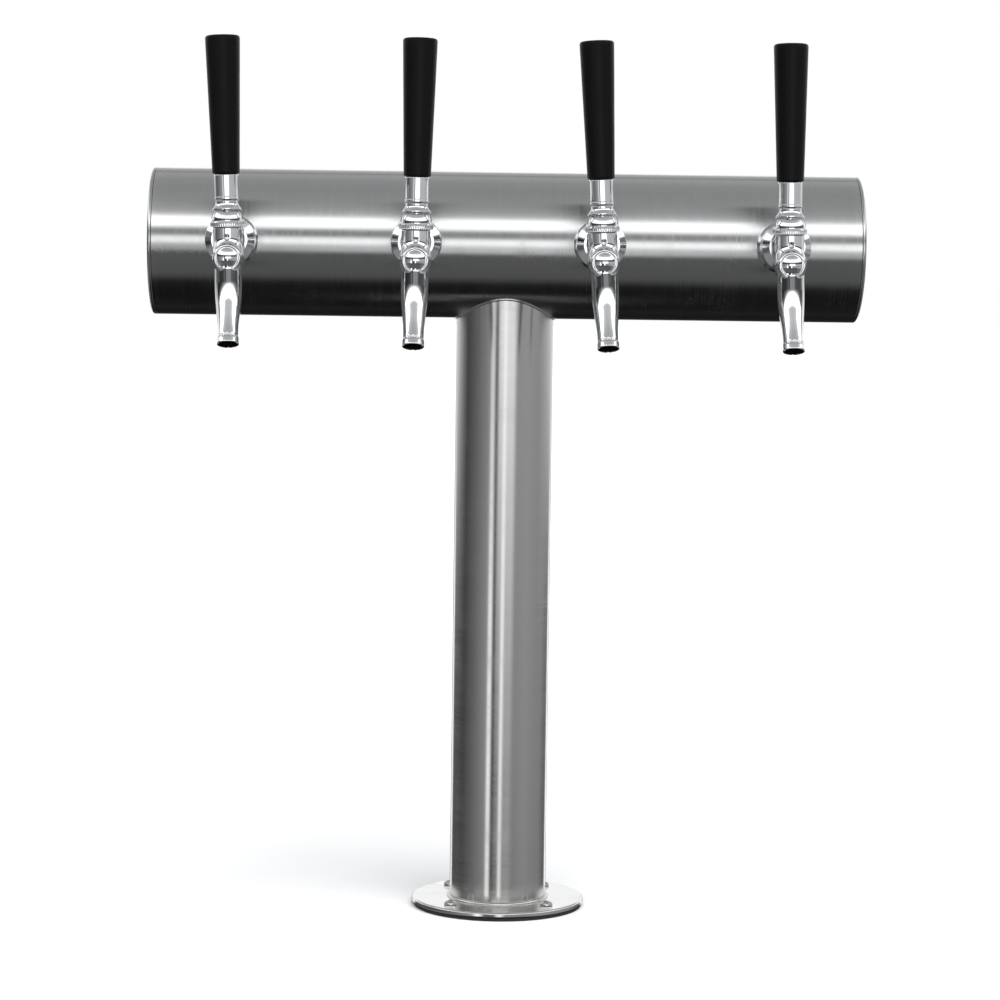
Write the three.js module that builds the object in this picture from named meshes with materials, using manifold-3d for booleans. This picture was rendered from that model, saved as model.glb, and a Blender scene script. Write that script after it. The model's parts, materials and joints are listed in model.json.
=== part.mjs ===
// Draft-beer tower with four faucets: a horizontal cross tube on a flanged column.
// Millimetres. +X runs along the cross tube, the faucets face -Y, +Z is up.
// The origin is on the column's centre line, in the plane where the gasket meets the counter.
import * as THREE from "three";
import { mergeVertices } from "three/addons/utils/BufferGeometryUtils.js";
import Module from "manifold-3d";

const wasm = await Module();
wasm.setup();

// ---------- driving dimensions ----------

const gap = 0.3; // clearance between pieces that touch

// tower
const columnRadius = 38;
const columnWall = 2;
const crossRadius = 57;
const crossWall = 2;
const crossLength = 550; // over the end caps
const crossHeight = 522; // centre line above the counter
const capThickness = 3;
const lineHoleRadius = 35; // opening between cross tube and column
const gasketThickness = 2.7;
const gasketRadius = 66.5;
const flangeThickness = 4;
const flangeRadius = 68;
const screwCircleRadius = 53;
const screwCount = 4;
const screwHoleRadius = 3;
const screwTip = -20; // the screws end this far below the counter's top
const sleeveRadii = [22, 34.5];
const sleeveHeights = [60, 440];

// faucets: "forward" is the distance in front of the cross tube's centre line,
// and heights are above the shank's centre line
const faucetSpacing = 139.7;
const faucetTurn = [-1.9, 0.7, -2.7, -0.8]; // degrees that each is turned on its shank
const faucetForward = 108; // lever, bonnet and knob
const pivotHeight = 13;
const ballRadius = 8;
const leverNeckRadius = 3.5;
const domeRadius = 12.1; // outside of the bonnet, round the pivot
const bonnetRadius = 12.8; // outside of the bonnet's foot
const bonnetFoot = 8.8;
const bonnetThreadRadius = 10.4;
const bonnetOpening = [62, 54]; // degrees from upright to the edge of its opening, inside and outside
const skirtClearance = 0.6; // between the bonnet's dome and the lever's skirt
const skirtAngle = 50; // degrees from upright to the rim of the lever's skirt
const skirtTop = 28.4;
const ferruleTop = 48;
const knobTop = 150.3;
const knobRadii = [10.2, 12.9];
const elbow = { forward: 113, height: -14, radius: 11.6 };
const bossRadius = 10;
const bossFront = 123;
const bodyFlangeRadius = 13; // the ring that the coupling nut pulls against the shank
const bodyNeckRadius = 10.6; // inside the coupling nut's lip
const bodyNeckEnd = 94.2;
const uprightRadius = 10.8;
const spoutAngle = 20; // degrees forward of straight down
const spoutLength = 68; // from the elbow's centre to the mouth
const seatForward = 85; // where faucet and shank meet
const seatBore = 8.3; // recess of the shank and of the body, round the seat washer
const shankRadius = 11.1;
const shankHeadRadius = 14.3;
const shankEnd = 22; // forward distance of the shank's inner end
const collarFront = 70;
const nutBack = 74;
const nutFront = 94;
const nutRadius = 18.7;
const hoseRadius = 5.8;
const hoseBore = 3.8;
const hoseInColumn = 10; // each line's offset from the column's centre, along X and along Y
const hoseBend = 44; // radius of the bend into the column
const hoseFoot = 42; // height of the hoses' lower ends

const columnFoot = gasketThickness + gap;
const flangeTop = columnFoot + flangeThickness;

// ---------- geometry helpers ----------

const degrees = THREE.MathUtils.degToRad;

// points on an arc about a point of the axis, angles in degrees from the axis direction
function arc(centreAlong, radius, from, to, steps) {
  return Array.from({ length: steps + 1 }, (_, i) => {
    const a = degrees(from + ((to - from) * i) / steps);
    return [radius * Math.sin(a), centreAlong + radius * Math.cos(a)];
  });
}

// a turned solid round +Z from [radius, height] points; a loop closes on itself, and
// any other profile starts and ends on the axis
function turned(profile, segments) {
  const points = profile.map(([r, z]) => new THREE.Vector2(r, z));
  if (profile.every(([r]) => r > 0)) points.push(points[0].clone());
  if (THREE.ShapeUtils.area(points) < 0) points.reverse();
  return new THREE.LatheGeometry(points, segments).rotateX(Math.PI / 2);
}

// the same, with its axis laid along -Y: [radius, forward] points
function turnedForward(profile, segments) {
  return turned(profile, segments).rotateX(Math.PI / 2);
}

// the same, with its axis laid along +X
function turnedAcross(profile, segments) {
  return turned(profile, segments).rotateY(Math.PI / 2);
}

function rod(radius, from, to) {
  return [[0, from], [radius, from], [radius, to], [0, to]];
}

function ring(inner, outer, from, to) {
  return [[inner, from], [outer, from], [outer, to], [inner, to]];
}

// radius of a faceted hole that clears a shaft by the gap
function holeFor(radius, segments) {
  return (radius + gap) / Math.cos(Math.PI / segments);
}

// a closed geometry as a solid that can be cut and joined
function solid(geometry) {
  const bare = geometry.index ? geometry.toNonIndexed() : geometry.clone();
  for (const name of Object.keys(bare.attributes)) {
    if (name !== "position") bare.deleteAttribute(name);
  }
  const merged = mergeVertices(bare, 1e-3);
  const mesh = new wasm.Mesh({
    numProp: 3,
    vertProperties: merged.attributes.position.array,
    triVerts: new Uint32Array(merged.index.array),
  });
  return new wasm.Manifold(mesh);
}

function geometryOf(manifold) {
  const mesh = manifold.getMesh();
  const geometry = new THREE.BufferGeometry();
  geometry.setAttribute("position", new THREE.BufferAttribute(mesh.vertProperties, mesh.numProp));
  geometry.setIndex(new THREE.BufferAttribute(mesh.triVerts, 1));
  geometry.computeVertexNormals();
  return geometry;
}

function join(...geometries) {
  return geometryOf(geometries.map(solid).reduce((a, b) => a.add(b)));
}

function cut(geometry, ...cutters) {
  return geometryOf(cutters.map(solid).reduce((a, b) => a.subtract(b), solid(geometry)));
}

// ---------- materials ----------

function finish(color, roughness, metalness) {
  return { color, roughness, metalness };
}

const brushedSteel = finish(0xb4b4b2, 0.32, 1);
const polishedSteel = finish(0xc4c4c0, 0.16, 1);
const chrome = finish(0xd8dade, 0.06, 1);
const blackPlastic = finish(0x0c0c0d, 0.35, 0);
const blackRubber = finish(0x1b1b1b, 0.75, 0);
const greyFoam = finish(0x3c3d40, 0.95, 0);
const clearVinyl = finish(0xd6dad6, 0.3, 0);
const brass = finish(0xb08d4a, 0.3, 1);

function part(name, geometry, look) {
  const mesh = new THREE.Mesh(geometry, new THREE.MeshStandardMaterial(look));
  mesh.name = name;
  return mesh;
}

// ---------- tower ----------

const faucetPlaces = faucetTurn.map((_, i) => (i - (faucetTurn.length - 1) / 2) * faucetSpacing);

// the cross tube, with a hole for each shank and the opening into the column
function crossTube() {
  const end = crossLength / 2 - capThickness - gap;
  const tube = turnedAcross(ring(crossRadius - crossWall, crossRadius, -end, end), 48);
  const shankHoles = faucetPlaces.map((x) =>
    turnedForward(rod(holeFor(shankRadius, 16), 30, 70), 16).translate(x, 0, 0),
  );
  const lineHole = turned(rod(lineHoleRadius, -70, -20), 24);
  return cut(tube, ...shankHoles, lineHole);
}

// a weld-in disc with a chamfered rim and a locating spigot, for the +X end
function endCap() {
  const face = crossLength / 2;
  const profile = [
    [0, face],
    [crossRadius - 1.2, face],
    [crossRadius, face - 1.2],
    [crossRadius, face - capThickness],
    [crossRadius - crossWall - 0.6, face - capThickness],
    [crossRadius - crossWall - 0.6, face - capThickness - 3],
    [0, face - capThickness - 3],
  ];
  return turnedAcross(profile, 32);
}

// the column, notched at the top to the cross tube's round
function column() {
  const tube = turned(ring(columnRadius - columnWall, columnRadius, columnFoot, crossHeight), 40);
  const notch = turnedAcross(rod(crossRadius + gap, -60, 60), 48).translate(0, 0, crossHeight);
  return cut(tube, notch);
}

function screwHoles(from, to) {
  return screwPlaces().map(([x, y]) =>
    turned(rod(screwHoleRadius, from, to), 8).translate(x, y, 0),
  );
}

function screwPlaces() {
  return Array.from({ length: screwCount }, (_, i) => {
    const a = ((i + 0.5) * 2 * Math.PI) / screwCount;
    return [screwCircleRadius * Math.cos(a), screwCircleRadius * Math.sin(a)];
  });
}

function baseFlange() {
  const hole = holeFor(columnRadius, 40);
  const profile = [
    [hole, columnFoot],
    [flangeRadius, columnFoot],
    [flangeRadius, flangeTop - 1],
    [flangeRadius - 1, flangeTop],
    [hole, flangeTop],
  ];
  return cut(turned(profile, 40), ...screwHoles(0, 10));
}

function baseGasket() {
  const hole = columnRadius - columnWall;
  return cut(turned(ring(hole, gasketRadius, 0, gasketThickness), 36), ...screwHoles(-5, 10));
}

// a pan-head wood screw, its head on the flange and its point in the counter
function flangeScrew() {
  const under = flangeTop + gap;
  return turned(
    [
      [0, screwTip],
      [2.3, screwTip + 5],
      [2.3, under],
      [5.2, under],
      [5, under + 1.6],
      [3.4, under + 2.8],
      [0, under + 3.2],
    ],
    10,
  );
}

// ---------- faucet ----------

function knob() {
  const [bottomRadius, topRadius] = knobRadii;
  return turned(
    [
      [0, ferruleTop + gap],
      [bottomRadius - 0.8, ferruleTop + gap],
      [bottomRadius, ferruleTop + gap + 1.2],
      [topRadius, knobTop - 2.2],
      [topRadius - 0.7, knobTop - 0.7],
      [topRadius - 2.2, knobTop],
      [0, knobTop],
    ],
    12,
  );
}

const studRadius = 4.6;

function ferrule() {
  const bottom = skirtTop + gap;
  const bore = holeFor(studRadius, 12);
  return turned(
    [
      [bore, bottom],
      [8.6, bottom],
      [9.2, bottom + 1],
      [9.2, ferruleTop - 1],
      [8.7, ferruleTop],
      [bore, ferruleTop],
    ],
    12,
  );
}

// finger, ball, neck, skirt and threaded stud in one piece
function lever() {
  const skirtInner = domeRadius + skirtClearance;
  const neckAngle = (radius) => THREE.MathUtils.radToDeg(Math.asin(leverNeckRadius / radius));
  const skirt = arc(pivotHeight, skirtInner, neckAngle(skirtInner), skirtAngle, 2);
  const [rimRadius, rimHeight] = skirt.at(-1);
  return turned(
    [
      [0, -4.6],
      [1.2, -4.6],
      [1.75, -4],
      ...arc(pivotHeight, ballRadius, 167.5, neckAngle(ballRadius), 5),
      ...skirt,
      [rimRadius + 1.1, rimHeight + 0.2],
      [rimRadius + 0.9, rimHeight + 2.4],
      [8.8, skirtTop],
      [studRadius, skirtTop],
      [studRadius, ferruleTop - 1],
      [0, ferruleTop - 1],
    ],
    16,
  );
}

// the ring that screws down over the lever's ball
function bonnet() {
  const shoulder = 11.3;
  const thread = holeFor(bonnetThreadRadius, 14);
  const [openingInside, openingOutside] = bonnetOpening;
  return turned(
    [
      [thread, bonnetFoot],
      [bonnetRadius, bonnetFoot],
      [bonnetRadius, 12.2],
      ...arc(pivotHeight, domeRadius, 90, openingOutside, 2),
      ...arc(pivotHeight, ballRadius + 0.5, openingInside, 95, 2),
      [8.6, shoulder],
      [thread, shoulder],
    ],
    14,
  );
}

// lays a solid turned round +Z along the spout, whose distances count from the elbow
function alongSpout(geometry) {
  return geometry
    .rotateX(Math.PI - degrees(spoutAngle))
    .translate(0, -elbow.forward, elbow.height);
}

// the casting: barrel, upright neck, elbow with its round boss, and hollow spout
function faucetBody() {
  const barrel = turnedForward(
    [
      [0, seatForward + gap],
      [bodyFlangeRadius, seatForward + gap],
      [bodyFlangeRadius, seatForward + 3.4],
      [bodyNeckRadius, seatForward + 3.4],
      [bodyNeckRadius, bodyNeckEnd],
      [8.4, bodyNeckEnd + 1],
      [8.4, faucetForward + 4],
      [0, faucetForward + 4],
    ],
    12,
  );
  const neck = turned(
    [
      [0, -8],
      [uprightRadius, -8],
      [uprightRadius, bonnetFoot - gap],
      [bonnetThreadRadius, bonnetFoot - gap],
      [bonnetThreadRadius, 11],
      [0, 11],
    ],
    12,
  ).translate(0, -faucetForward, 0);
  const ball = new THREE.SphereGeometry(elbow.radius, 12, 6).translate(
    0,
    -elbow.forward,
    elbow.height,
  );
  const boss = turnedForward(
    [
      [0, bossFront - 11],
      [bossRadius, bossFront - 11],
      [bossRadius, bossFront - 0.6],
      [bossRadius - 0.8, bossFront],
      [0, bossFront],
    ],
    12,
  ).translate(0, 0, elbow.height);
  const spout = alongSpout(
    turned(
      [
        [0, 0],
        [10.3, 0],
        [10.2, 34],
        [8.4, 47],
        [7.8, 54],
        [7.8, 62.5],
        [8.3, 64],
        [8.3, spoutLength],
        [0, spoutLength],
      ],
      12,
    ),
  );
  const valveBore = turnedForward(
    [[0, 80], [seatBore, 80], [seatBore, 90.5], [5.5, 92.5], [5.5, 116], [0, 116]],
    10,
  );
  const socket = new THREE.SphereGeometry(ballRadius + 0.6, 14, 8).translate(
    0,
    -faucetForward,
    pivotHeight,
  );
  const fingerSlot = new THREE.BoxGeometry(6, 16, 12).translate(0, -103.5, 3);
  const beerWay = alongSpout(
    turned(
      [
        [0, -6],
        [5.8, -6],
        [6, 58],
        [7.3, 61],
        [7.3, spoutLength + 2],
        [0, spoutLength + 2],
      ],
      10,
    ),
  );
  const vent = turnedForward(rod(1.6, faucetForward, 130), 6).translate(0, 0, 1);
  return cut(join(barrel, neck, ball, boss, spout), valveBore, socket, fingerSlot, beerWay, vent);
}

// the sliding shaft: seat washer at the back, and an eye in front for the lever's finger
function valveShaft() {
  const stem = turnedForward(
    [[0, 83], [4, 83], [4, 86.5], [7.4, 86.5], [7.4, 90], [3, 90], [3, 101], [0, 101]],
    10,
  );
  const eye = new THREE.BoxGeometry(8, 15, 3).translate(0, -107.5, 0);
  const hole = new THREE.BoxGeometry(4.3, 8.6, 6).translate(0, -faucetForward, 0);
  return cut(join(stem, eye), hole);
}

function couplingNut() {
  const thread = holeFor(shankHeadRadius, 18);
  const lip = holeFor(bodyNeckRadius, 18);
  const lipBack = seatForward + 3.7;
  return turnedForward(
    [
      [thread, nutBack],
      [nutRadius, nutBack],
      [nutRadius, nutFront - 5.5],
      [nutRadius - 5, nutFront],
      [lip, nutFront],
      [lip, lipBack],
      [thread, lipBack],
    ],
    18,
  );
}

function shank() {
  const beerBore = 3.5;
  return turnedForward(
    [
      [beerBore, shankEnd],
      [shankRadius, shankEnd],
      [shankRadius, collarFront + gap],
      [shankHeadRadius, collarFront + gap],
      [shankHeadRadius, seatForward],
      [seatBore, seatForward],
      [seatBore, 73.5],
      [beerBore, 73.5],
    ],
    14,
  );
}

// the flange under the shank's head, hollowed to the cross tube's round
function shankCollar() {
  const bore = holeFor(shankRadius, 18);
  const disc = turnedForward(
    [[bore, 46], [19.5, 46], [19.5, 61], [16, collarFront], [bore, collarFront]],
    18,
  );
  return cut(disc, turnedAcross(rod(crossRadius + gap, -40, 40), 48));
}

// a hexagonal prism along -Y, with a round hole
function hexNut(acrossFlats, from, to, bore) {
  const corner = acrossFlats / Math.sqrt(3);
  const prism = new THREE.CylinderGeometry(corner, corner, to - from, 6).translate(
    0,
    -(from + to) / 2,
    0,
  );
  return cut(prism, turnedForward(rod(bore, to - 8, to + 1), 14));
}

function locknut() {
  return hexNut(30, 41.8, 49.5, holeFor(shankRadius, 14));
}

// beer nut and elbow, with the barb along +X or, turned, along -X
function tailpiece(barbTurn) {
  const nut = hexNut(28, 10, 26, holeFor(shankRadius, 14));
  const stem = turnedForward(rod(4.4, 0, 18.4), 8);
  const corner = new THREE.SphereGeometry(5.2, 8, 4);
  const barb = turnedAcross(
    [[0, 0], [2.5, 0], [2.5, 11], [2.9, 11], [2.2, 14], [0, 14]],
    8,
  ).rotateZ(barbTurn);
  const beerDown = turnedForward(rod(1.7, -1, 30), 4);
  const beerAcross = turnedAcross(rod(1.7, -1, 20), 4).rotateZ(barbTurn);
  return cut(join(nut, stem, corner, barb), beerDown, beerAcross);
}

// ---------- beer lines ----------

// the route of one line inside the tower, from its tailpiece to the column's foot
function lineRoute(x) {
  const side = Math.sign(x);
  const outer = Math.abs(x) > faucetSpacing;
  const start = Math.abs(x) - 5.5;
  const bendStart = hoseInColumn + hoseBend;
  const back = outer ? 22 : 0; // an outer line passes behind the inner faucet's tailpiece
  const inColumn = outer ? hoseInColumn : -hoseInColumn;
  const run = outer
    ? [[start, 0], [start - 10, 0], [start - 20, 0.5], [160, 9], [136, 18]]
    : [[start, 0]];
  const points = run.map(([along, y]) => [along, y, 0]);
  if (outer) points.push([108, back, 0], [82, back, 0]);
  for (const turn of [0, 22.5, 45, 67.5, 90]) {
    const a = degrees(turn);
    const y = back + (inColumn - back) * (turn / 90) ** 1.5;
    points.push([bendStart - hoseBend * Math.sin(a), y, hoseBend * (Math.cos(a) - 1)]);
  }
  const foot = hoseFoot - crossHeight;
  for (const share of [0.08, 0.3, 0.55, 0.8, 1]) {
    points.push([hoseInColumn, inColumn, -hoseBend + (foot + hoseBend) * share]);
  }
  const spots = points.map(([along, y, z]) => new THREE.Vector3(side * along, y, z + crossHeight));
  const curve = new THREE.CatmullRomCurve3(spots, false, "centripetal");
  // a section at each of the route's own points, not at even distances
  curve.getPointAt = curve.getPoint;
  curve.getTangentAt = curve.getTangent;
  return curve;
}

function circle(radius, sides, path) {
  const points = Array.from({ length: sides }, (_, i) => {
    const a = (i * 2 * Math.PI) / sides;
    return new THREE.Vector2(radius * Math.cos(a), radius * Math.sin(a));
  });
  return new path(points);
}

// a hose on its route, with a barbed splicer pressed into its lower end
function beerLine(x) {
  const route = lineRoute(x);
  const section = circle(hoseRadius, 6, THREE.Shape);
  section.holes.push(circle(hoseBore, 6, THREE.Path));
  const hose = new THREE.ExtrudeGeometry(section, {
    extrudePath: route,
    steps: route.points.length - 1,
    bevelEnabled: false,
  });
  const foot = route.getPoint(1);
  const splicer = turned(
    [
      [0, -18],
      [2.2, -18],
      [2.9, -14],
      [2.5, -14],
      [2.5, -4],
      [5, -4],
      [5, 0.5],
      [3.9, 0.5],
      [3.9, 8],
      [0, 8],
    ],
    8,
  ).translate(foot.x, foot.y, foot.z);
  return join(hose, splicer);
}

// ---------- assembly ----------

const tower = new THREE.Group();

tower.add(part("column", column(), brushedSteel));
const cross = part("cross_tube", crossTube(), brushedSteel);
cross.position.z = crossHeight;
tower.add(cross);
for (const [name, turn] of [["end_cap_right", 0], ["end_cap_left", Math.PI]]) {
  const cap = part(name, endCap(), brushedSteel);
  cap.position.z = crossHeight;
  cap.rotation.z = turn;
  tower.add(cap);
}
tower.add(part("base_flange", baseFlange(), polishedSteel));
tower.add(part("base_gasket", baseGasket(), blackRubber));
screwPlaces().forEach(([x, y], i) => {
  const screw = part(`flange_screw_${i + 1}`, flangeScrew(), polishedSteel);
  screw.position.set(x, y, 0);
  tower.add(screw);
});
tower.add(part("insulation_sleeve", turned(ring(...sleeveRadii, ...sleeveHeights), 20), greyFoam));

faucetPlaces.forEach((x, i) => {
  const number = i + 1;
  const atWall = new THREE.Group();
  atWall.position.set(x, 0, crossHeight);
  atWall.add(part(`shank_${number}`, shank(), chrome));
  atWall.add(part(`shank_collar_${number}`, shankCollar(), chrome));
  atWall.add(part(`shank_locknut_${number}`, locknut(), brass));
  atWall.add(part(`tailpiece_${number}`, tailpiece(x < 0 ? 0 : Math.PI), chrome));

  const faucet = new THREE.Group();
  faucet.rotation.y = degrees(faucetTurn[i]);
  faucet.add(part(`coupling_nut_${number}`, couplingNut(), chrome));
  faucet.add(part(`faucet_body_${number}`, faucetBody(), chrome));
  faucet.add(part(`valve_shaft_${number}`, valveShaft(), polishedSteel));
  const onLever = new THREE.Group();
  onLever.position.y = -faucetForward;
  onLever.add(part(`bonnet_${number}`, bonnet(), chrome));
  onLever.add(part(`lever_${number}`, lever(), chrome));
  onLever.add(part(`ferrule_${number}`, ferrule(), chrome));
  onLever.add(part(`knob_${number}`, knob(), blackPlastic));
  faucet.add(onLever);
  atWall.add(faucet);

  tower.add(atWall);
  tower.add(part(`beer_line_${number}`, beerLine(x), clearVinyl));
});

export default tower;
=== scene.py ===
import json
import math

import bpy
import numpy as np
from mathutils import Matrix, Vector


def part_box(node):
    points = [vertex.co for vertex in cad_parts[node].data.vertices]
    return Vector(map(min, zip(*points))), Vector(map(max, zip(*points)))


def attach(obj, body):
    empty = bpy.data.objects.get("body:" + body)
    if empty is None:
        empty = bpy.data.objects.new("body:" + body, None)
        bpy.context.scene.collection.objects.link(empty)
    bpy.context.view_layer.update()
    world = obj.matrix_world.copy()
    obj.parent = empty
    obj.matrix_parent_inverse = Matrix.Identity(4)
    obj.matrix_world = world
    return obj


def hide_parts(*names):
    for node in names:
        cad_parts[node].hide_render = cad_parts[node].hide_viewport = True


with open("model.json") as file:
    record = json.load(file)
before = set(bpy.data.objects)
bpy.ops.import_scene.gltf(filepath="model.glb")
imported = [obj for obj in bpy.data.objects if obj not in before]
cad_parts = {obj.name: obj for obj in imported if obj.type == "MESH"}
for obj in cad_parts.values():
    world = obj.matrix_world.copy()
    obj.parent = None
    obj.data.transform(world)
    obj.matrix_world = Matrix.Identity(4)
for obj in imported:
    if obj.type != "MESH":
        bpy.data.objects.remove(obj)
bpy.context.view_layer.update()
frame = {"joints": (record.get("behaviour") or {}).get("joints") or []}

# ---------------------------------------------------------------- studio
# A pale floor, rows of soft lights all round with dark gaps between them, and the camera a little
# below the cross tube. The lights are what the polished steel and the chrome show in their gloss.

floor_mesh = bpy.data.meshes.new("floor")
reach = 40.0
floor_mesh.from_pydata(
    [(-reach, -reach, 0), (reach, -reach, 0), (reach, reach, 0), (-reach, reach, 0)], [], [(0, 1, 2, 3)]
)
floor = bpy.data.objects.new("floor", floor_mesh)
bpy.context.scene.collection.objects.link(floor)
floor.visible_glossy = False

floor_paint = bpy.data.materials.new("floor_paint")
floor_paint.use_nodes = True
nodes, links = floor_paint.node_tree.nodes, floor_paint.node_tree.links
nodes.clear()
coords = nodes.new("ShaderNodeTexCoord")
coords.label = "Floor position"
coords.location = (-800, 0)
mottle = nodes.new("ShaderNodeTexNoise")
mottle.label = "Faint mottling"
mottle.location = (-600, 0)
mottle.inputs["Scale"].default_value = 3.0
tone = nodes.new("ShaderNodeMapRange")
tone.label = "Pale paint"
tone.location = (-400, 0)
tone.inputs["To Min"].default_value = 0.84
tone.inputs["To Max"].default_value = 0.88
paint = nodes.new("ShaderNodeBsdfDiffuse")
paint.label = "Matt floor"
paint.location = (-200, 0)
out = nodes.new("ShaderNodeOutputMaterial")
out.location = (0, 0)
links.new(coords.outputs["Object"], mottle.inputs["Vector"])
links.new(mottle.outputs["Fac"], tone.inputs["Value"])
links.new(tone.outputs["Result"], paint.inputs["Color"])
links.new(paint.outputs["BSDF"], out.inputs["Surface"])
floor_mesh.materials.append(floor_paint)


def set_stops(ramp, stops, low, high):
    """Fills a colour ramp with (place, grey) stops; places run from low to high."""
    elements = ramp.color_ramp.elements
    while len(elements) > 1:
        elements.remove(elements[-1])
    for i, (place, grey) in enumerate(stops):
        element = elements[0] if i == 0 else elements.new(1.0)
        element.position = (place - low) / (high - low)
        element.color = (grey, grey, grey, 1)


world = bpy.data.worlds.new("studio")
bpy.context.scene.world = world
world.use_nodes = True
nodes, links = world.node_tree.nodes, world.node_tree.links
nodes.clear()
coords = nodes.new("ShaderNodeTexCoord")
coords.label = "Direction"
coords.location = (-1500, 0)
split = nodes.new("ShaderNodeSeparateXYZ")
split.location = (-1300, 0)
height = nodes.new("ShaderNodeMath")
height.label = "Angle above the horizon"
height.location = (-1100, 200)
height.operation = "ARCSINE"
height_share = nodes.new("ShaderNodeMapRange")
height_share.location = (-900, 200)
height_share.inputs["From Min"].default_value = -math.pi / 2
height_share.inputs["From Max"].default_value = math.pi / 2
front = nodes.new("ShaderNodeMath")
front.label = "Towards the front"
front.location = (-1100, -100)
front.operation = "MULTIPLY"
front.inputs[1].default_value = -1
turn = nodes.new("ShaderNodeMath")
turn.label = "Angle round the tower"
turn.location = (-900, -100)
turn.operation = "ARCTAN2"
turn_share = nodes.new("ShaderNodeMapRange")
turn_share.location = (-700, -100)
turn_share.inputs["From Min"].default_value = -math.pi
turn_share.inputs["From Max"].default_value = math.pi
rows = nodes.new("ShaderNodeValToRGB")
rows.label = "Rows of softboxes"
rows.location = (-500, 400)
set_stops(rows, [
    (-90, 0.004), (-62, 0.005), (-54, 0.012), (-26, 0.015), (-12, 0.03), (-5.5, 0.06), (-2, 0.95),
    (6, 0.95), (8.5, 0.22), (10.5, 0.14), (18, 0.14), (20.3, 0.35), (22.7, 1.05), (37, 1.05), (41, 0.36),
    (50, 0.25), (66, 0.205), (90, 0.185),
], -90, 90)
gaps = nodes.new("ShaderNodeValToRGB")
gaps.label = "Gaps in the low row"
gaps.location = (-500, 100)
set_stops(gaps, [
    (-180, 0.5), (-140, 0.45), (-112, 0.15), (-98, 0.05), (-82, 0.08), (-60, 0.12), (-35, 0.2), (-31, 0.45),
    (-25, 0.45), (-21, 0.1), (-16, 0.1), (-12, 1.0), (22, 1.0), (30, 0.3), (60, 0.29), (90, 0.27), (120, 0.4),
    (140, 0.5), (180, 0.5),
], -180, 180)
strips = nodes.new("ShaderNodeValToRGB")
strips.label = "Upright strip lights"
strips.location = (-500, -200)
set_stops(strips, [
    (-180, 0.06), (-165, 0.06), (-162, 0.7), (-150, 0.7), (-147, 0.05), (-100, 0.02), (-68, 0.09),
    (-42, 0.2), (-33, 0.26), (-31, 1.0), (-24, 1.0), (-21, 0.02), (-17, 0.0), (-7, 0.0), (-4, 0.05),
    (-1, 0.9), (3.5, 0.9), (7, 0.15), (25, 0.18), (60, 0.22), (84, 0.19), (110, 0.16), (130, 0.08),
    (146, 0.08), (150, 0.75), (161, 0.75), (164, 0.06), (180, 0.06),
], -180, 180)
low_only = nodes.new("ShaderNodeValToRGB")
low_only.label = "Strips stand below the high row"
low_only.location = (-500, -500)
set_stops(low_only, [(-90, 0), (-17, 0), (-13, 1), (-5, 1), (-2, 0.2), (0, 0), (90, 0)], -90, 90)
low_row = nodes.new("ShaderNodeValToRGB")
low_row.label = "Where the gaps count"
low_row.location = (-500, -800)
set_stops(low_row, [(-90, 0), (-60, 0), (-40, 1), (14, 1), (20, 0), (90, 0)], -90, 90)
high_row = nodes.new("ShaderNodeValToRGB")
high_row.label = "The high row"
high_row.location = (-500, -1100)
set_stops(high_row, [(-90, 0), (17, 0), (22, 1), (40, 1), (48, 0), (90, 0)], -90, 90)
behind = nodes.new("ShaderNodeValToRGB")
behind.label = "Behind the tower"
behind.location = (-500, -1400)
set_stops(behind, [(-180, 1), (-125, 1), (-95, 0), (95, 0), (125, 1), (180, 1)], -180, 180)
far_row = nodes.new("ShaderNodeMath")
far_row.label = "High row behind the tower"
far_row.location = (-200, -1200)
far_row.operation = "MULTIPLY"
back_row = nodes.new("ShaderNodeValToRGB")
back_row.label = "Low wall of light at the back"
back_row.location = (-500, -1700)
set_stops(back_row, [(-90, 0), (3, 0), (6, 0.6), (20, 0.6), (23, 0), (90, 0)], -90, 90)
far_wall = nodes.new("ShaderNodeMath")
far_wall.location = (-200, -1600)
far_wall.operation = "MULTIPLY"
with_wall = nodes.new("ShaderNodeMath")
with_wall.location = (300, -100)
with_wall.operation = "MAXIMUM"
off_floor = nodes.new("ShaderNodeValToRGB")
off_floor.label = "Light off the floor"
off_floor.location = (-500, -2000)
set_stops(off_floor, [(-90, 0), (-66, 0), (-52, 0.12), (-24, 0.14), (-16, 0.08), (-8, 0), (90, 0)], -90, 90)
aside = nodes.new("ShaderNodeValToRGB")
aside.label = "Most at the sides, none behind"
aside.location = (-500, -2300)
set_stops(aside, [
    (-180, 0), (-155, 0), (-130, 1), (-62, 1), (-38, 0.5), (34, 0.5), (58, 1), (130, 1), (155, 0), (180, 0),
], -180, 180)
side_floor = nodes.new("ShaderNodeMath")
side_floor.location = (-200, -2100)
side_floor.operation = "MULTIPLY"
with_floor = nodes.new("ShaderNodeMath")
with_floor.location = (350, -300)
with_floor.operation = "MAXIMUM"
dimmed = nodes.new("ShaderNodeMapRange")
dimmed.label = "Is turned down"
dimmed.location = (0, -1200)
dimmed.inputs["To Min"].default_value = 1.0
dimmed.inputs["To Max"].default_value = 0.25
whole = nodes.new("ShaderNodeMix")
whole.label = "Gap or no gap"
whole.location = (-200, 100)
gapped = nodes.new("ShaderNodeMath")
gapped.location = (0, 200)
gapped.operation = "MULTIPLY"
standing = nodes.new("ShaderNodeMath")
standing.location = (0, -100)
standing.operation = "MULTIPLY"
together = nodes.new("ShaderNodeMath")
together.location = (200, 100)
together.operation = "MAXIMUM"
brightness = nodes.new("ShaderNodeMath")
brightness.label = "Brightness of the lights"
brightness.location = (400, 100)
brightness.operation = "MULTIPLY"
brightness.inputs[1].default_value = 2.0
lit = nodes.new("ShaderNodeBackground")
lit.label = "Studio lights"
lit.location = (600, 100)
lit.inputs["Color"].default_value = (0.97, 0.985, 1, 1)
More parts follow.
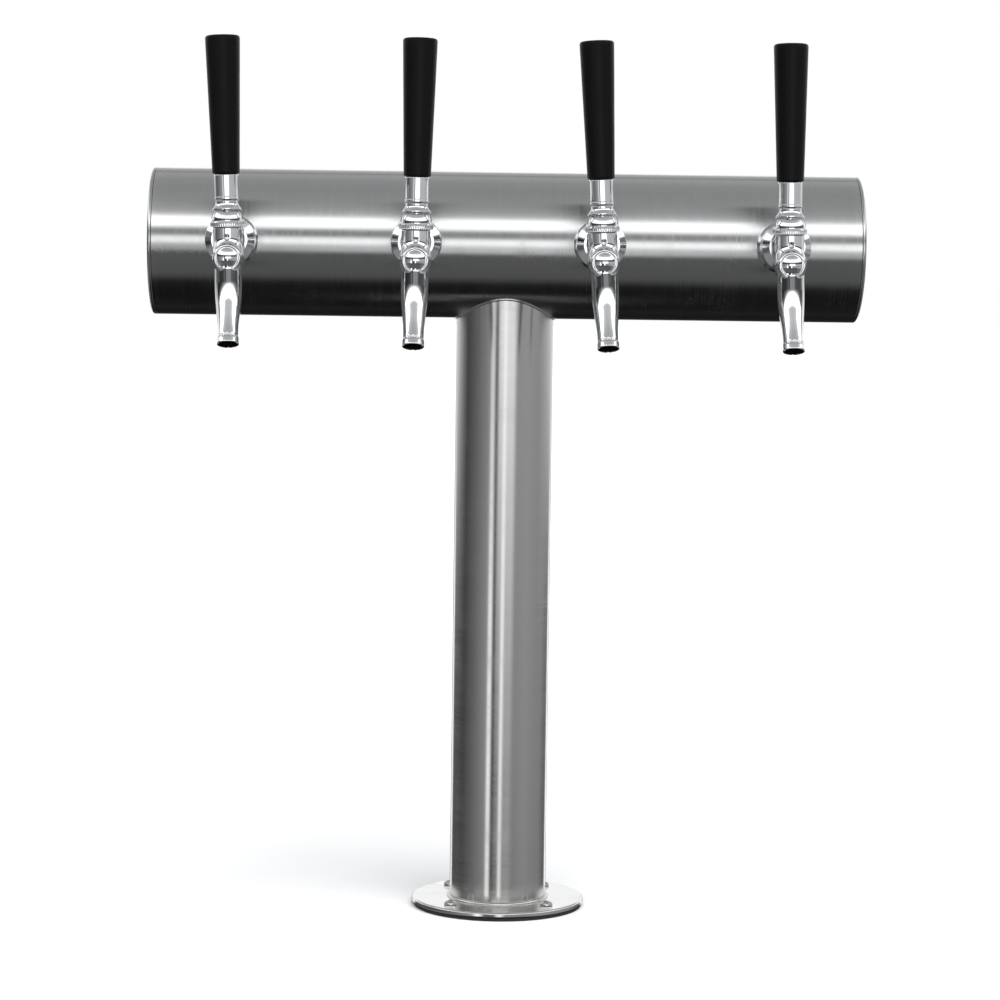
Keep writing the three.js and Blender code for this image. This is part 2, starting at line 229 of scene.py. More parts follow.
paper = nodes.new("ShaderNodeBackground")
paper.label = "Pale backdrop seen directly"
paper.location = (600, -100)
paper.inputs["Color"].default_value = (1, 1, 1, 1)
seen = nodes.new("ShaderNodeLightPath")
seen.location = (600, 500)
choose = nodes.new("ShaderNodeMixShader")
choose.location = (800, 100)
out = nodes.new("ShaderNodeOutputWorld")
out.location = (1000, 100)
links.new(coords.outputs["Generated"], split.inputs["Vector"])
links.new(split.outputs["Z"], height.inputs[0])
links.new(height.outputs["Value"], height_share.inputs["Value"])
links.new(split.outputs["Y"], front.inputs[0])
links.new(split.outputs["X"], turn.inputs[0])
links.new(front.outputs["Value"], turn.inputs[1])
links.new(turn.outputs["Value"], turn_share.inputs["Value"])
links.new(height_share.outputs["Result"], rows.inputs["Fac"])
links.new(height_share.outputs["Result"], low_only.inputs["Fac"])
links.new(height_share.outputs["Result"], low_row.inputs["Fac"])
links.new(turn_share.outputs["Result"], gaps.inputs["Fac"])
links.new(turn_share.outputs["Result"], strips.inputs["Fac"])
links.new(height_share.outputs["Result"], high_row.inputs["Fac"])
links.new(turn_share.outputs["Result"], behind.inputs["Fac"])
links.new(high_row.outputs["Color"], far_row.inputs[0])
links.new(behind.outputs["Color"], far_row.inputs[1])
links.new(far_row.outputs["Value"], dimmed.inputs["Value"])
links.new(dimmed.outputs["Result"], whole.inputs[2])
links.new(low_row.outputs["Color"], whole.inputs[0])
links.new(gaps.outputs["Color"], whole.inputs[3])
links.new(rows.outputs["Color"], gapped.inputs[0])
links.new(whole.outputs[0], gapped.inputs[1])
links.new(strips.outputs["Color"], standing.inputs[0])
links.new(low_only.outputs["Color"], standing.inputs[1])
links.new(gapped.outputs["Value"], together.inputs[0])
links.new(standing.outputs["Value"], together.inputs[1])
links.new(height_share.outputs["Result"], back_row.inputs["Fac"])
links.new(back_row.outputs["Color"], far_wall.inputs[0])
links.new(behind.outputs["Color"], far_wall.inputs[1])
links.new(together.outputs["Value"], with_wall.inputs[0])
links.new(far_wall.outputs["Value"], with_wall.inputs[1])
links.new(height_share.outputs["Result"], off_floor.inputs["Fac"])
links.new(turn_share.outputs["Result"], aside.inputs["Fac"])
links.new(off_floor.outputs["Color"], side_floor.inputs[0])
links.new(aside.outputs["Color"], side_floor.inputs[1])
links.new(with_wall.outputs["Value"], with_floor.inputs[0])
links.new(side_floor.outputs["Value"], with_floor.inputs[1])
links.new(with_floor.outputs["Value"], brightness.inputs[0])
links.new(brightness.outputs["Value"], lit.inputs["Strength"])
links.new(seen.outputs["Is Camera Ray"], choose.inputs["Fac"])
links.new(lit.outputs["Background"], choose.inputs[1])
links.new(paper.outputs["Background"], choose.inputs[2])
links.new(choose.outputs["Shader"], out.inputs["Surface"])

overhead = bpy.data.lights.new("overhead", "SUN")
overhead.angle = math.radians(50)
overhead.energy = 2.5
lamp = bpy.data.objects.new("overhead", overhead)
lamp.rotation_euler = Vector((-0.25, 0.45, -1)).to_track_quat("-Z", "Y").to_euler()
lamp.visible_glossy = False
bpy.context.scene.collection.objects.link(lamp)
bpy.context.scene.view_settings.view_transform = "Standard"

camera_data = bpy.data.cameras.new("camera")
camera_data.sensor_width = 36
camera_data.lens = 103
camera_data.clip_end = 200
camera = bpy.data.objects.new("camera", camera_data)
camera.location = (-0.055, -2.248, 0.485)
aim = Vector((-0.002, 0, 0.322)) - camera.location
roll = math.radians(0.76)  # held a little off level
level_view = aim.to_track_quat("-Z", "Y").to_matrix()
camera.rotation_euler = (level_view @ Matrix.Rotation(roll, 3, "Z")).to_euler()
bpy.context.scene.collection.objects.link(camera)
bpy.context.scene.camera = camera

# ---------------------------------------------------------------- cross tube
# The horizontal barrel that carries the faucets: a 114 mm stainless tube, ground and polished
# round its girth, drilled in front for four shanks and opened below for the beer lines.


def steel(name, colour, roughness, grain, grain_depth, smears, anisotropy=0.0, tangent=None, waves=0.0):
    """Bare or plated metal. grain is how often the tool marks repeat along X, Y and Z, per metre.

    grain_depth and waves are heights in metres, and smears is what they add to the roughness.
    """
    material = bpy.data.materials.new(name)
    material.use_nodes = True
    nodes, links = material.node_tree.nodes, material.node_tree.links
    nodes.clear()
    marks_frame = nodes.new("NodeFrame")
    marks_frame.label = "Tool marks"
    smears_frame = nodes.new("NodeFrame")
    smears_frame.label = "Smears and fingerprints"
    wear_frame = nodes.new("NodeFrame")
    wear_frame.label = "Hairline scratches and rubbed edges"
    form_frame = nodes.new("NodeFrame")
    form_frame.label = "Relief"

    coords = nodes.new("ShaderNodeTexCoord")
    coords.label = "Place on the tower"
    coords.location = (-1700, 0)
    stretch = nodes.new("ShaderNodeMapping")
    stretch.label = "Stretch along the polishing"
    stretch.location = (-1450, 300)
    stretch.parent = marks_frame
    stretch.inputs["Scale"].default_value = grain
    marks = nodes.new("ShaderNodeTexNoise")
    marks.label = "Grain"
    marks.location = (-1200, 300)
    marks.parent = marks_frame
    marks.inputs["Scale"].default_value = 1.0
    marks.inputs["Detail"].default_value = 7.0
    marks.inputs["Roughness"].default_value = 0.7
    marks_rough = nodes.new("ShaderNodeMapRange")
    marks_rough.label = "Grain in the roughness"
    marks_rough.location = (-950, 300)
    marks_rough.parent = marks_frame
    marks_rough.inputs["From Min"].default_value = 0.3
    marks_rough.inputs["From Max"].default_value = 0.7
    marks_rough.inputs["To Min"].default_value = roughness * 0.82
    marks_rough.inputs["To Max"].default_value = roughness * 1.18

    cloud = nodes.new("ShaderNodeTexNoise")
    cloud.label = "Where hands and cloths have been"
    cloud.location = (-1200, 0)
    cloud.parent = smears_frame
    cloud.inputs["Scale"].default_value = 22.0
    cloud.inputs["Detail"].default_value = 4.0
    cloud.inputs["Distortion"].default_value = 1.2
    cloud_rough = nodes.new("ShaderNodeMapRange")
    cloud_rough.label = "Smears dull the gloss"
    cloud_rough.location = (-950, 0)
    cloud_rough.parent = smears_frame
    cloud_rough.inputs["From Min"].default_value = 0.5
    cloud_rough.inputs["From Max"].default_value = 0.8
    cloud_rough.inputs["To Max"].default_value = smears

    lines = nodes.new("ShaderNodeMapping")
    lines.label = "Long thin cells"
    lines.location = (-1450, -300)
    lines.parent = wear_frame
    lines.inputs["Rotation"].default_value = (0.4, 0.7, 0.3)
    lines.inputs["Scale"].default_value = (700, 45, 45)
    hairs = nodes.new("ShaderNodeTexNoise")
    hairs.label = "Hairlines"
    hairs.location = (-1200, -300)
    hairs.parent = wear_frame
    hairs.inputs["Scale"].default_value = 1.0
    hairs.inputs["Detail"].default_value = 2.0
    hairs_only = nodes.new("ShaderNodeMapRange")
    hairs_only.label = "Few of them"
    hairs_only.location = (-950, -300)
    hairs_only.parent = wear_frame
    hairs_only.inputs["From Min"].default_value = 0.70
    hairs_only.inputs["From Max"].default_value = 0.80
    hairs_only.inputs["To Max"].default_value = 0.05
    edges = nodes.new("ShaderNodeNewGeometry")
    edges.label = "Edges"
    edges.location = (-1200, -550)
    edges.parent = wear_frame
    edges_only = nodes.new("ShaderNodeMapRange")
    edges_only.label = "Rubbed edges"
    edges_only.location = (-950, -550)
    edges_only.parent = wear_frame
    edges_only.inputs["From Min"].default_value = 0.52
    edges_only.inputs["From Max"].default_value = 0.62

    with_smears = nodes.new("ShaderNodeMath")
    with_smears.label = "Grain and smears"
    with_smears.location = (-650, 200)
    with_smears.operation = "ADD"
    with_hairs = nodes.new("ShaderNodeMath")
    with_hairs.label = "And hairlines"
    with_hairs.location = (-450, 200)
    with_hairs.operation = "ADD"
    shade = nodes.new("ShaderNodeMix")
    shade.label = "Grain in the colour"
    shade.location = (-650, 500)
    shade.data_type = "RGBA"
    shade.inputs["A"].default_value = (*[c * 0.93 for c in colour], 1)
    shade.inputs["B"].default_value = (*[min(1, c * 1.05) for c in colour], 1)
    rubbed = nodes.new("ShaderNodeMix")
    rubbed.label = "Brighter where rubbed"
    rubbed.location = (-400, 500)
    rubbed.data_type = "RGBA"
    rubbed.inputs["B"].default_value = (*[min(1, c * 1.12) for c in colour], 1)
    relief = nodes.new("ShaderNodeBump")
    relief.label = "Grain relief"
    relief.location = (-450, -200)
    relief.parent = form_frame
    relief.inputs["Strength"].default_value = 1.0
    relief.inputs["Distance"].default_value = grain_depth
    swell = nodes.new("ShaderNodeTexNoise")
    swell.label = "Slow waves of the polishing wheel"
    swell.location = (-700, -450)
    swell.parent = form_frame
    swell.inputs["Scale"].default_value = 90.0
    swell.inputs["Detail"].default_value = 1.0
    swell_relief = nodes.new("ShaderNodeBump")
    swell_relief.label = "Waves"
    swell_relief.location = (-250, -300)
    swell_relief.parent = form_frame
    swell_relief.inputs["Strength"].default_value = 1.0
    swell_relief.inputs["Distance"].default_value = waves
    metal = nodes.new("ShaderNodeBsdfPrincipled")
    metal.label = name
    metal.location = (0, 200)
    metal.inputs["Metallic"].default_value = 1.0
    metal.inputs["Anisotropic"].default_value = anisotropy
    out = nodes.new("ShaderNodeOutputMaterial")
    out.location = (300, 200)

    links.new(coords.outputs["Object"], stretch.inputs["Vector"])
    links.new(coords.outputs["Object"], cloud.inputs["Vector"])
    links.new(coords.outputs["Object"], lines.inputs["Vector"])
    links.new(coords.outputs["Object"], swell.inputs["Vector"])
    links.new(stretch.outputs["Vector"], marks.inputs["Vector"])
    links.new(marks.outputs["Fac"], marks_rough.inputs["Value"])
    links.new(cloud.outputs["Fac"], cloud_rough.inputs["Value"])
    links.new(lines.outputs["Vector"], hairs.inputs["Vector"])
    links.new(hairs.outputs["Fac"], hairs_only.inputs["Value"])
    links.new(edges.outputs["Pointiness"], edges_only.inputs["Value"])
    links.new(marks_rough.outputs["Result"], with_smears.inputs[0])
    links.new(cloud_rough.outputs["Result"], with_smears.inputs[1])
    links.new(with_smears.outputs["Value"], with_hairs.inputs[0])
    links.new(hairs_only.outputs["Result"], with_hairs.inputs[1])
    links.new(with_hairs.outputs["Value"], metal.inputs["Roughness"])
    links.new(marks.outputs["Fac"], shade.inputs["Factor"])
    links.new(shade.outputs["Result"], rubbed.inputs["A"])
    links.new(edges_only.outputs["Result"], rubbed.inputs["Factor"])
    links.new(rubbed.outputs["Result"], metal.inputs["Base Color"])
    links.new(marks.outputs["Fac"], relief.inputs["Height"])
    links.new(swell.outputs["Fac"], swell_relief.inputs["Height"])
    links.new(relief.outputs["Normal"], swell_relief.inputs["Normal"])
    links.new(swell_relief.outputs["Normal"], metal.inputs["Normal"])
    links.new(metal.outputs["BSDF"], out.inputs["Surface"])
    if tangent:
        girth = nodes.new("ShaderNodeTangent")
        girth.label = "Along the tube"
        girth.location = (-250, -550)
        girth.direction_type = "UV_MAP"
        girth.uv_map = tangent
        links.new(girth.outputs["Tangent"], metal.inputs["Tangent"])
    return material


def grown(name, tree, sizes, start=None):
    """Runs a Geometry Nodes tree and keeps its result as a plain mesh in a new object."""
    piece = bpy.data.objects.new(name, start or bpy.data.meshes.new(name))
    bpy.context.scene.collection.objects.link(piece)
    step = piece.modifiers.new("Shape", "NODES")
    step.node_group = tree
    for socket in tree.interface.items_tree:
        if socket.in_out == "INPUT" and socket.name in sizes:
            step[socket.identifier] = sizes[socket.name]
    seen_by = bpy.context.evaluated_depsgraph_get()
    piece.data = bpy.data.meshes.new_from_object(piece.evaluated_get(seen_by))
    piece.modifiers.clear()
    return piece


def smooth(mesh, angle=32):
    """Smooth shading, with the edges sharper than the angle left crisp."""
    mesh.shade_smooth()
    mesh.set_sharp_from_angle(angle=math.radians(angle))


tube_tree = bpy.data.node_groups.new("Tube cut by a crossing tube", "GeometryNodeTree")
sockets = tube_tree.interface
for label, kind in [
    ("Length", "Float"), ("Radius", "Float"), ("Wall", "Float"), ("Rings", "Int"), ("Holes", "Int"),
    ("Hole spacing", "Float"), ("Hole radius", "Float"), ("Crossing radius", "Float"),
    ("Crossing length", "Float"), ("Crossing centre", "Vector"), ("Material", "Material"),
]:
    sockets.new_socket(label, in_out="INPUT", socket_type=f"NodeSocket{kind}")
sockets.new_socket("Geometry", in_out="OUTPUT", socket_type="NodeSocketGeometry")
nodes, links = tube_tree.nodes, tube_tree.links
sizes = nodes.new("NodeGroupInput")
sizes.label = "Sizes"
sizes.location = (-1400, 0)
outside = nodes.new("GeometryNodeMeshCylinder")
outside.label = "Tube's outside"
outside.location = (-900, 500)
outside.inputs["Vertices"].default_value = 128
bore_radius = nodes.new("ShaderNodeMath")
bore_radius.label = "Bore radius"
bore_radius.location = (-1150, 300)
bore_radius.operation = "SUBTRACT"
bore_length = nodes.new("ShaderNodeMath")
bore_length.label = "Longer than the tube"
bore_length.location = (-1150, 100)
bore_length.operation = "MULTIPLY"
bore_length.inputs[1].default_value = 1.2
bore = nodes.new("GeometryNodeMeshCylinder")
bore.label = "Bore"
bore.location = (-900, 200)
bore.inputs["Vertices"].default_value = 128
crossing = nodes.new("GeometryNodeMeshCylinder")
crossing.label = "Crossing cutter"
crossing.location = (-900, -100)
crossing.inputs["Vertices"].default_value = 128
crossing_place = nodes.new("GeometryNodeTransform")
crossing_place.label = "Lay it across"
crossing_place.location = (-650, -100)
crossing_place.inputs["Rotation"].default_value = (0, math.pi / 2, 0)
drill = nodes.new("GeometryNodeMeshCylinder")
drill.label = "Shank drill"
drill.location = (-900, -400)
drill.inputs["Vertices"].default_value = 48
drill.inputs["Depth"].default_value = 0.05
drill_place = nodes.new("GeometryNodeTransform")
drill_place.label = "Point it at the front"
drill_place.location = (-650, -400)
drill_place.inputs["Rotation"].default_value = (math.pi / 2, 0, 0)
drill_at = nodes.new("ShaderNodeCombineXYZ")
drill_at.label = "At the front wall"
drill_at.location = (-900, -750)
front_wall = nodes.new("ShaderNodeMath")
front_wall.location = (-1150, -750)
front_wall.operation = "MULTIPLY"
front_wall.inputs[1].default_value = -1
step_up = nodes.new("ShaderNodeCombineXYZ")
step_up.label = "One spacing along"
step_up.location = (-1150, -950)
row_start = nodes.new("ShaderNodeCombineXYZ")
row_start.label = "First hole"
row_start.location = (-900, -950)
gaps_in_row = nodes.new("ShaderNodeMath")
gaps_in_row.location = (-1400, -950)
gaps_in_row.operation = "SUBTRACT"
gaps_in_row.inputs[1].default_value = 1
half_row = nodes.new("ShaderNodeMath")
half_row.location = (-1400, -1150)
half_row.operation = "MULTIPLY"
to_start = nodes.new("ShaderNodeMath")
to_start.location = (-1150, -1150)
to_start.operation = "MULTIPLY"
to_start.inputs[1].default_value = -0.5
row = nodes.new("GeometryNodeMeshLine")
row.label = "Row of shank holes"
row.location = (-650, -800)
drills = nodes.new("GeometryNodeInstanceOnPoints")
drills.label = "Drill at each"
drills.location = (-400, -500)
real = nodes.new("GeometryNodeRealizeInstances")
real.label = "Realize the drills"
real.location = (-200, -500)
carve = nodes.new("GeometryNodeMeshBoolean")
carve.label = "Bore, cross and drill"
carve.location = (0, 200)
carve.operation = "DIFFERENCE"
place = nodes.new("GeometryNodeInputPosition")
place.location = (0, -200)
split = nodes.new("ShaderNodeSeparateXYZ")
split.location = (200, -200)
round_it = nodes.new("ShaderNodeMath")
round_it.label = "Round the girth"
round_it.location = (400, -200)
round_it.operation = "ARCTAN2"
unrolled = nodes.new("ShaderNodeCombineXYZ")
unrolled.label = "Unrolled surface"
unrolled.location = (600, -200)
grain_map = nodes.new("GeometryNodeStoreNamedAttribute")
grain_map.label = "Keep it for the grain"
grain_map.location = (800, 200)
grain_map.data_type = "FLOAT2"
grain_map.domain = "CORNER"
grain_map.inputs["Name"].default_value = "girth"
solid = nodes.new("GeometryNodeRealizeInstances")
solid.location = (1000, 200)
paint = nodes.new("GeometryNodeSetMaterial")
paint.location = (1200, 200)
out = nodes.new("NodeGroupOutput")
out.location = (1400, 200)
links.new(sizes.outputs["Radius"], outside.inputs["Radius"])
links.new(sizes.outputs["Length"], outside.inputs["Depth"])
links.new(sizes.outputs["Rings"], outside.inputs["Side Segments"])
links.new(sizes.outputs["Radius"], bore_radius.inputs[0])
links.new(sizes.outputs["Wall"], bore_radius.inputs[1])
links.new(bore_radius.outputs["Value"], bore.inputs["Radius"])
links.new(sizes.outputs["Length"], bore_length.inputs[0])
links.new(bore_length.outputs["Value"], bore.inputs["Depth"])
links.new(sizes.outputs["Crossing radius"], crossing.inputs["Radius"])
links.new(sizes.outputs["Crossing length"], crossing.inputs["Depth"])
links.new(crossing.outputs["Mesh"], crossing_place.inputs["Geometry"])
links.new(sizes.outputs["Crossing centre"], crossing_place.inputs["Translation"])
links.new(sizes.outputs["Hole radius"], drill.inputs["Radius"])
links.new(drill.outputs["Mesh"], drill_place.inputs["Geometry"])
links.new(sizes.outputs["Radius"], front_wall.inputs[0])
links.new(front_wall.outputs["Value"], drill_at.inputs["Y"])
links.new(drill_at.outputs["Vector"], drill_place.inputs["Translation"])
links.new(sizes.outputs["Holes"], gaps_in_row.inputs[0])
links.new(gaps_in_row.outputs["Value"], half_row.inputs[0])
links.new(sizes.outputs["Hole spacing"], half_row.inputs[1])
links.new(half_row.outputs["Value"], to_start.inputs[0])
links.new(to_start.outputs["Value"], row_start.inputs["Z"])
links.new(sizes.outputs["Hole spacing"], step_up.inputs["Z"])
links.new(sizes.outputs["Holes"], row.inputs["Count"])
links.new(row_start.outputs["Vector"], row.inputs["Start Location"])
links.new(step_up.outputs["Vector"], row.inputs["Offset"])
links.new(row.outputs["Mesh"], drills.inputs["Points"])
links.new(drill_place.outputs["Geometry"], drills.inputs["Instance"])
links.new(drills.outputs["Instances"], real.inputs["Geometry"])
links.new(outside.outputs["Mesh"], carve.inputs["Mesh 1"])
links.new(bore.outputs["Mesh"], carve.inputs["Mesh 2"])
links.new(crossing_place.outputs["Geometry"], carve.inputs["Mesh 2"])
links.new(real.outputs["Geometry"], carve.inputs["Mesh 2"])
links.new(place.outputs["Position"], split.inputs["Vector"])
links.new(split.outputs["Y"], round_it.inputs[0])
links.new(split.outputs["X"], round_it.inputs[1])
links.new(split.outputs["Z"], unrolled.inputs["X"])
links.new(round_it.outputs["Value"], unrolled.inputs["Y"])
links.new(carve.outputs["Mesh"], grain_map.inputs["Geometry"])
links.new(unrolled.outputs["Vector"], grain_map.inputs["Value"])
links.new(grain_map.outputs["Geometry"], solid.inputs["Geometry"])
links.new(solid.outputs["Geometry"], paint.inputs["Geometry"])
links.new(sizes.outputs["Material"], paint.inputs["Material"])
links.new(paint.outputs["Geometry"], out.inputs["Geometry"])

cross_low, cross_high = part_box("cross_tube")
cross_radius = (cross_high.z - cross_low.z) / 2
cross_height = (cross_high.z + cross_low.z) / 2
cross_length = cross_high.x - cross_low.x
shank_boxes = [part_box(f"shank_{n}") for n in (1, 2, 3, 4)]
faucet_x = [(low.x + high.x) / 2 for low, high in shank_boxes]
wall = 0.002
cross_steel = steel(
    "ground_steel_across", (0.60, 0.60, 0.595), roughness=0.23, grain=(900, 14, 14),
    grain_depth=0.0000035, smears=0.05, anisotropy=0.7, tangent="girth",
)
cross_tube = grown("polished_cross_tube", tube_tree, {
    "Length": cross_length, "Radius": cross_radius, "Wall": wall, "Rings": 56, "Holes": 4,
    "Hole spacing": faucet_x[1] - faucet_x[0], "Hole radius": 0.0114, "Crossing radius": 0.035,
    "Crossing length": 0.05, "Crossing centre": (0.045, 0, 0), "Material": cross_steel,
})
lay_across = Matrix.Translation((0, 0, cross_height)) @ Matrix.Rotation(math.pi / 2, 4, "Y")
cross_tube.data.transform(lay_across)
smooth(cross_tube.data)
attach(cross_tube, "tower")
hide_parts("cross_tube")

# ---------------------------------------------------------------- end caps
# Two 3 mm steel discs close the cross tube. Each is pressed in on its spigot, welded and dressed
# flush, so that only a fine line and a softened rim are left.


def softened(outline, corner, steps=3):
    """An outline of (radius, height) points with its corners rounded; the ones on the axis stay."""
    points = [Vector(p) for p in outline]
    open_ends = {0, len(points) - 1} if points[0].x == 0 else set()
    line = []
    for i, point in enumerate(points):
        if i in open_ends:
            line.append(point)
            continue
        back, on = points[i - 1] - point, points[(i + 1) % len(points)] - point
        turn = math.pi - back.angle(on)
        if turn < 0.35:
            line.append(point)
            continue
        reach = min(corner * math.tan(turn / 2), 0.42 * back.length, 0.42 * on.length)
        radius = reach / math.tan(turn / 2)
        back.normalize()
        on.normalize()
        centre = point + (back + on).normalized() * (radius / math.cos(turn / 2))
        start, end = point + back * reach - centre, point + on * reach - centre
        hold = min(0.5 * reach, 0.04)
        line.append(point + back * (reach + hold))
        for k in range(steps + 1):
            share = k / steps
            line.append(centre + (start * (1 - share) + end * share).normalized() * radius)
        line.append(point + on * (reach + hold))
    return [(p.x, p.y) for p in line]


def turned(outline, corner=0.25, steps=96):
    """A mesh turned round +Z from (radius, height) points in millimetres, as on a lathe."""
    line = softened(outline, corner)
    closed = line[0][0] > 0
    verts, rows = [], []
    for radius, height in line:
        if radius < 1e-6:
            rows.append([len(verts)] * steps)
            verts.append((0, 0, height / 1000))
            continue
        rows.append(list(range(len(verts), len(verts) + steps)))
        for k in range(steps):
            a = 2 * math.pi * k / steps
            verts.append((radius * math.cos(a) / 1000, radius * math.sin(a) / 1000, height / 1000))
    pairs = list(zip(rows, rows[1:])) + ([(rows[-1], rows[0])] if closed else [])
    faces = []
    for low, high in pairs:
        for k in range(steps):
            on = (k + 1) % steps
            ring = dict.fromkeys((low[k], low[on], high[on], high[k]))
            if len(ring) > 2:
                faces.append(list(ring))
    mesh = bpy.data.meshes.new("turned")
    mesh.from_pydata(verts, [], faces)
    area = sum(a[0] * b[1] - b[0] * a[1] for a, b in zip(line, line[1:] + line[:1]))
    if area < 0:
        mesh.flip_normals()
    return mesh


def placed(name, mesh, place, material=None, angle=32):
    """A new object holding a copy of the mesh, with its place in the mesh."""
    mesh = mesh.copy()
    mesh.name = name
    mesh.transform(place)
    smooth(mesh, angle)
    if material:
        mesh.materials.clear()
        mesh.materials.append(material)
    piece = bpy.data.objects.new(name, mesh)
    bpy.context.scene.collection.objects.link(piece)
    return piece


cap_steel = steel(
    "ground_steel_caps", (0.60, 0.60, 0.595), roughness=0.24, grain=(14, 420, 14),
    grain_depth=0.0000035, smears=0.05,
)
cap_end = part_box("end_cap_right")[1].x * 1000
cap_rim = cross_radius * 1000
cap_outline = [
    (0, cap_end), (cap_rim - 1.2, cap_end), (cap_rim, cap_end - 1.2), (cap_rim, cap_end - 3),
    (cap_rim - 2.6, cap_end - 3), (cap_rim - 2.6, cap_end - 6), (0, cap_end - 6),
]
cap_mesh = turned(cap_outline, corner=1.2, steps=128)
for side, lay in (("right", math.pi / 2), ("left", -math.pi / 2)):
    place = Matrix.Translation((0, 0, cross_height)) @ Matrix.Rotation(lay, 4, "Y")
    cap = placed(f"{side}_end_disc", cap_mesh, place, cap_steel)
    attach(cap, "tower")
    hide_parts(f"end_cap_{side}")

# ---------------------------------------------------------------- column
# A 76 mm stainless tube stands between base and cross tube. Its top is notched to the cross
# tube's round, and a small polished weld runs round that saddle.

column_low, column_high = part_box("column")
column_radius = (column_high.x - column_low.x) / 2
column_length = cross_height - column_low.z
column_middle = (cross_height + column_low.z) / 2
column_steel = steel(
    "ground_steel_upright", (0.60, 0.595, 0.58), roughness=0.2, grain=(14, 14, 900),
    grain_depth=0.000003, smears=0.05, anisotropy=0.7, tangent="girth",
)
column = grown("polished_column", tube_tree, {
    "Length": column_length, "Radius": column_radius, "Wall": wall, "Rings": 52, "Holes": 0,
    "Hole spacing": 0.1, "Hole radius": 0.001, "Crossing radius": cross_radius + 0.0003,
    "Crossing length": 0.2, "Crossing centre": (0, 0, column_length / 2), "Material": column_steel,
})
column.data.transform(Matrix.Translation((0, 0, column_middle)))
smooth(column.data)
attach(column, "tower")
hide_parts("column")

weld_tree = bpy.data.node_groups.new("Weld bead round a tube", "GeometryNodeTree")
sockets = weld_tree.interface
for label, kind in [
    ("Path radius", "Float"), ("Saddle radius", "Float"), ("Height", "Float"), ("Bead radius", "Float"),
    ("Ripples", "Int"), ("Seed", "Int"), ("Material", "Material"),
]:
    sockets.new_socket(label, in_out="INPUT", socket_type=f"NodeSocket{kind}")
sockets.new_socket("Geometry", in_out="OUTPUT", socket_type="NodeSocketGeometry")
nodes, links = weld_tree.nodes, weld_tree.links
sizes = nodes.new("NodeGroupInput")
sizes.location = (-1200, 0)
path = nodes.new("GeometryNodeCurvePrimitiveCircle")
path.label = "Round the tube"
path.location = (-900, 300)
path.inputs["Resolution"].default_value = 720
place = nodes.new("GeometryNodeInputPosition")
place.location = (-1200, -300)
split = nodes.new("ShaderNodeSeparateXYZ")
split.location = (-1000, -300)
across = nodes.new("ShaderNodeMath")
across.label = "Sideways, squared"
across.location = (-800, -300)
across.operation = "MULTIPLY"
round_squared = nodes.new("ShaderNodeMath")
round_squared.label = "Saddle radius, squared"
round_squared.location = (-800, -100)
round_squared.operation = "MULTIPLY"
rest = nodes.new("ShaderNodeMath")
rest.location = (-600, -200)
rest.operation = "SUBTRACT"
positive = nodes.new("ShaderNodeMath")
positive.location = (-600, -400)
positive.operation = "MAXIMUM"
positive.inputs[1].default_value = 0
drop = nodes.new("ShaderNodeMath")
drop.label = "Drop below the saddle's axis"
drop.location = (-400, -200)
drop.operation = "SQRT"
level = nodes.new("ShaderNodeMath")
level.label = "Height of the path"
level.location = (-200, -200)
level.operation = "SUBTRACT"
lift = nodes.new("ShaderNodeCombineXYZ")
lift.location = (0, -200)
on_saddle = nodes.new("GeometryNodeSetPosition")
on_saddle.label = "Follow the saddle"
on_saddle.location = (0, 300)
along = nodes.new("GeometryNodeSplineParameter")
along.location = (-600, -700)
beat = nodes.new("ShaderNodeMath")
beat.label = "Ripples on the way round"
beat.location = (-400, -700)
beat.operation = "MULTIPLY"
full_turn = nodes.new("ShaderNodeMath")
full_turn.location = (-200, -700)
full_turn.operation = "MULTIPLY"
full_turn.inputs[1].default_value = 2 * math.pi
wave = nodes.new("ShaderNodeMath")
wave.location = (0, -700)
wave.operation = "SINE"
uneven = nodes.new("ShaderNodeTexNoise")
uneven.label = "Uneven hand"
uneven.location = (0, -900)
uneven.noise_dimensions = "4D"
uneven.inputs["Scale"].default_value = 120
swell = nodes.new("ShaderNodeMath")
swell.label = "Ripple and hand together"
swell.location = (200, -700)
swell.operation = "MULTIPLY_ADD"
swell.inputs[1].default_value = 0.07
thickness = nodes.new("GeometryNodeSetCurveRadius")
thickness.label = "Bead thickness"
thickness.location = (300, 300)
section = nodes.new("GeometryNodeCurvePrimitiveCircle")
section.label = "Bead section"
section.location = (300, 0)
section.inputs["Resolution"].default_value = 12
sweep = nodes.new("GeometryNodeCurveToMesh")
sweep.location = (600, 300)
solid = nodes.new("GeometryNodeRealizeInstances")
solid.location = (800, 300)
paint = nodes.new("GeometryNodeSetMaterial")
paint.location = (1000, 300)
out = nodes.new("NodeGroupOutput")
out.location = (1200, 300)
links.new(sizes.outputs["Path radius"], path.inputs["Radius"])
links.new(place.outputs["Position"], split.inputs["Vector"])
links.new(split.outputs["Y"], across.inputs[0])
links.new(split.outputs["Y"], across.inputs[1])
links.new(sizes.outputs["Saddle radius"], round_squared.inputs[0])
links.new(sizes.outputs["Saddle radius"], round_squared.inputs[1])
links.new(round_squared.outputs["Value"], rest.inputs[0])
links.new(across.outputs["Value"], rest.inputs[1])
links.new(rest.outputs["Value"], positive.inputs[0])
links.new(positive.outputs["Value"], drop.inputs[0])
links.new(sizes.outputs["Height"], level.inputs[0])
links.new(drop.outputs["Value"], level.inputs[1])
links.new(level.outputs["Value"], lift.inputs["Z"])
links.new(path.outputs["Curve"], on_saddle.inputs["Geometry"])
links.new(lift.outputs["Vector"], on_saddle.inputs["Offset"])
links.new(along.outputs["Factor"], beat.inputs[0])
links.new(sizes.outputs["Ripples"], beat.inputs[1])
links.new(beat.outputs["Value"], full_turn.inputs[0])
links.new(full_turn.outputs["Value"], wave.inputs[0])
links.new(place.outputs["Position"], uneven.inputs["Vector"])
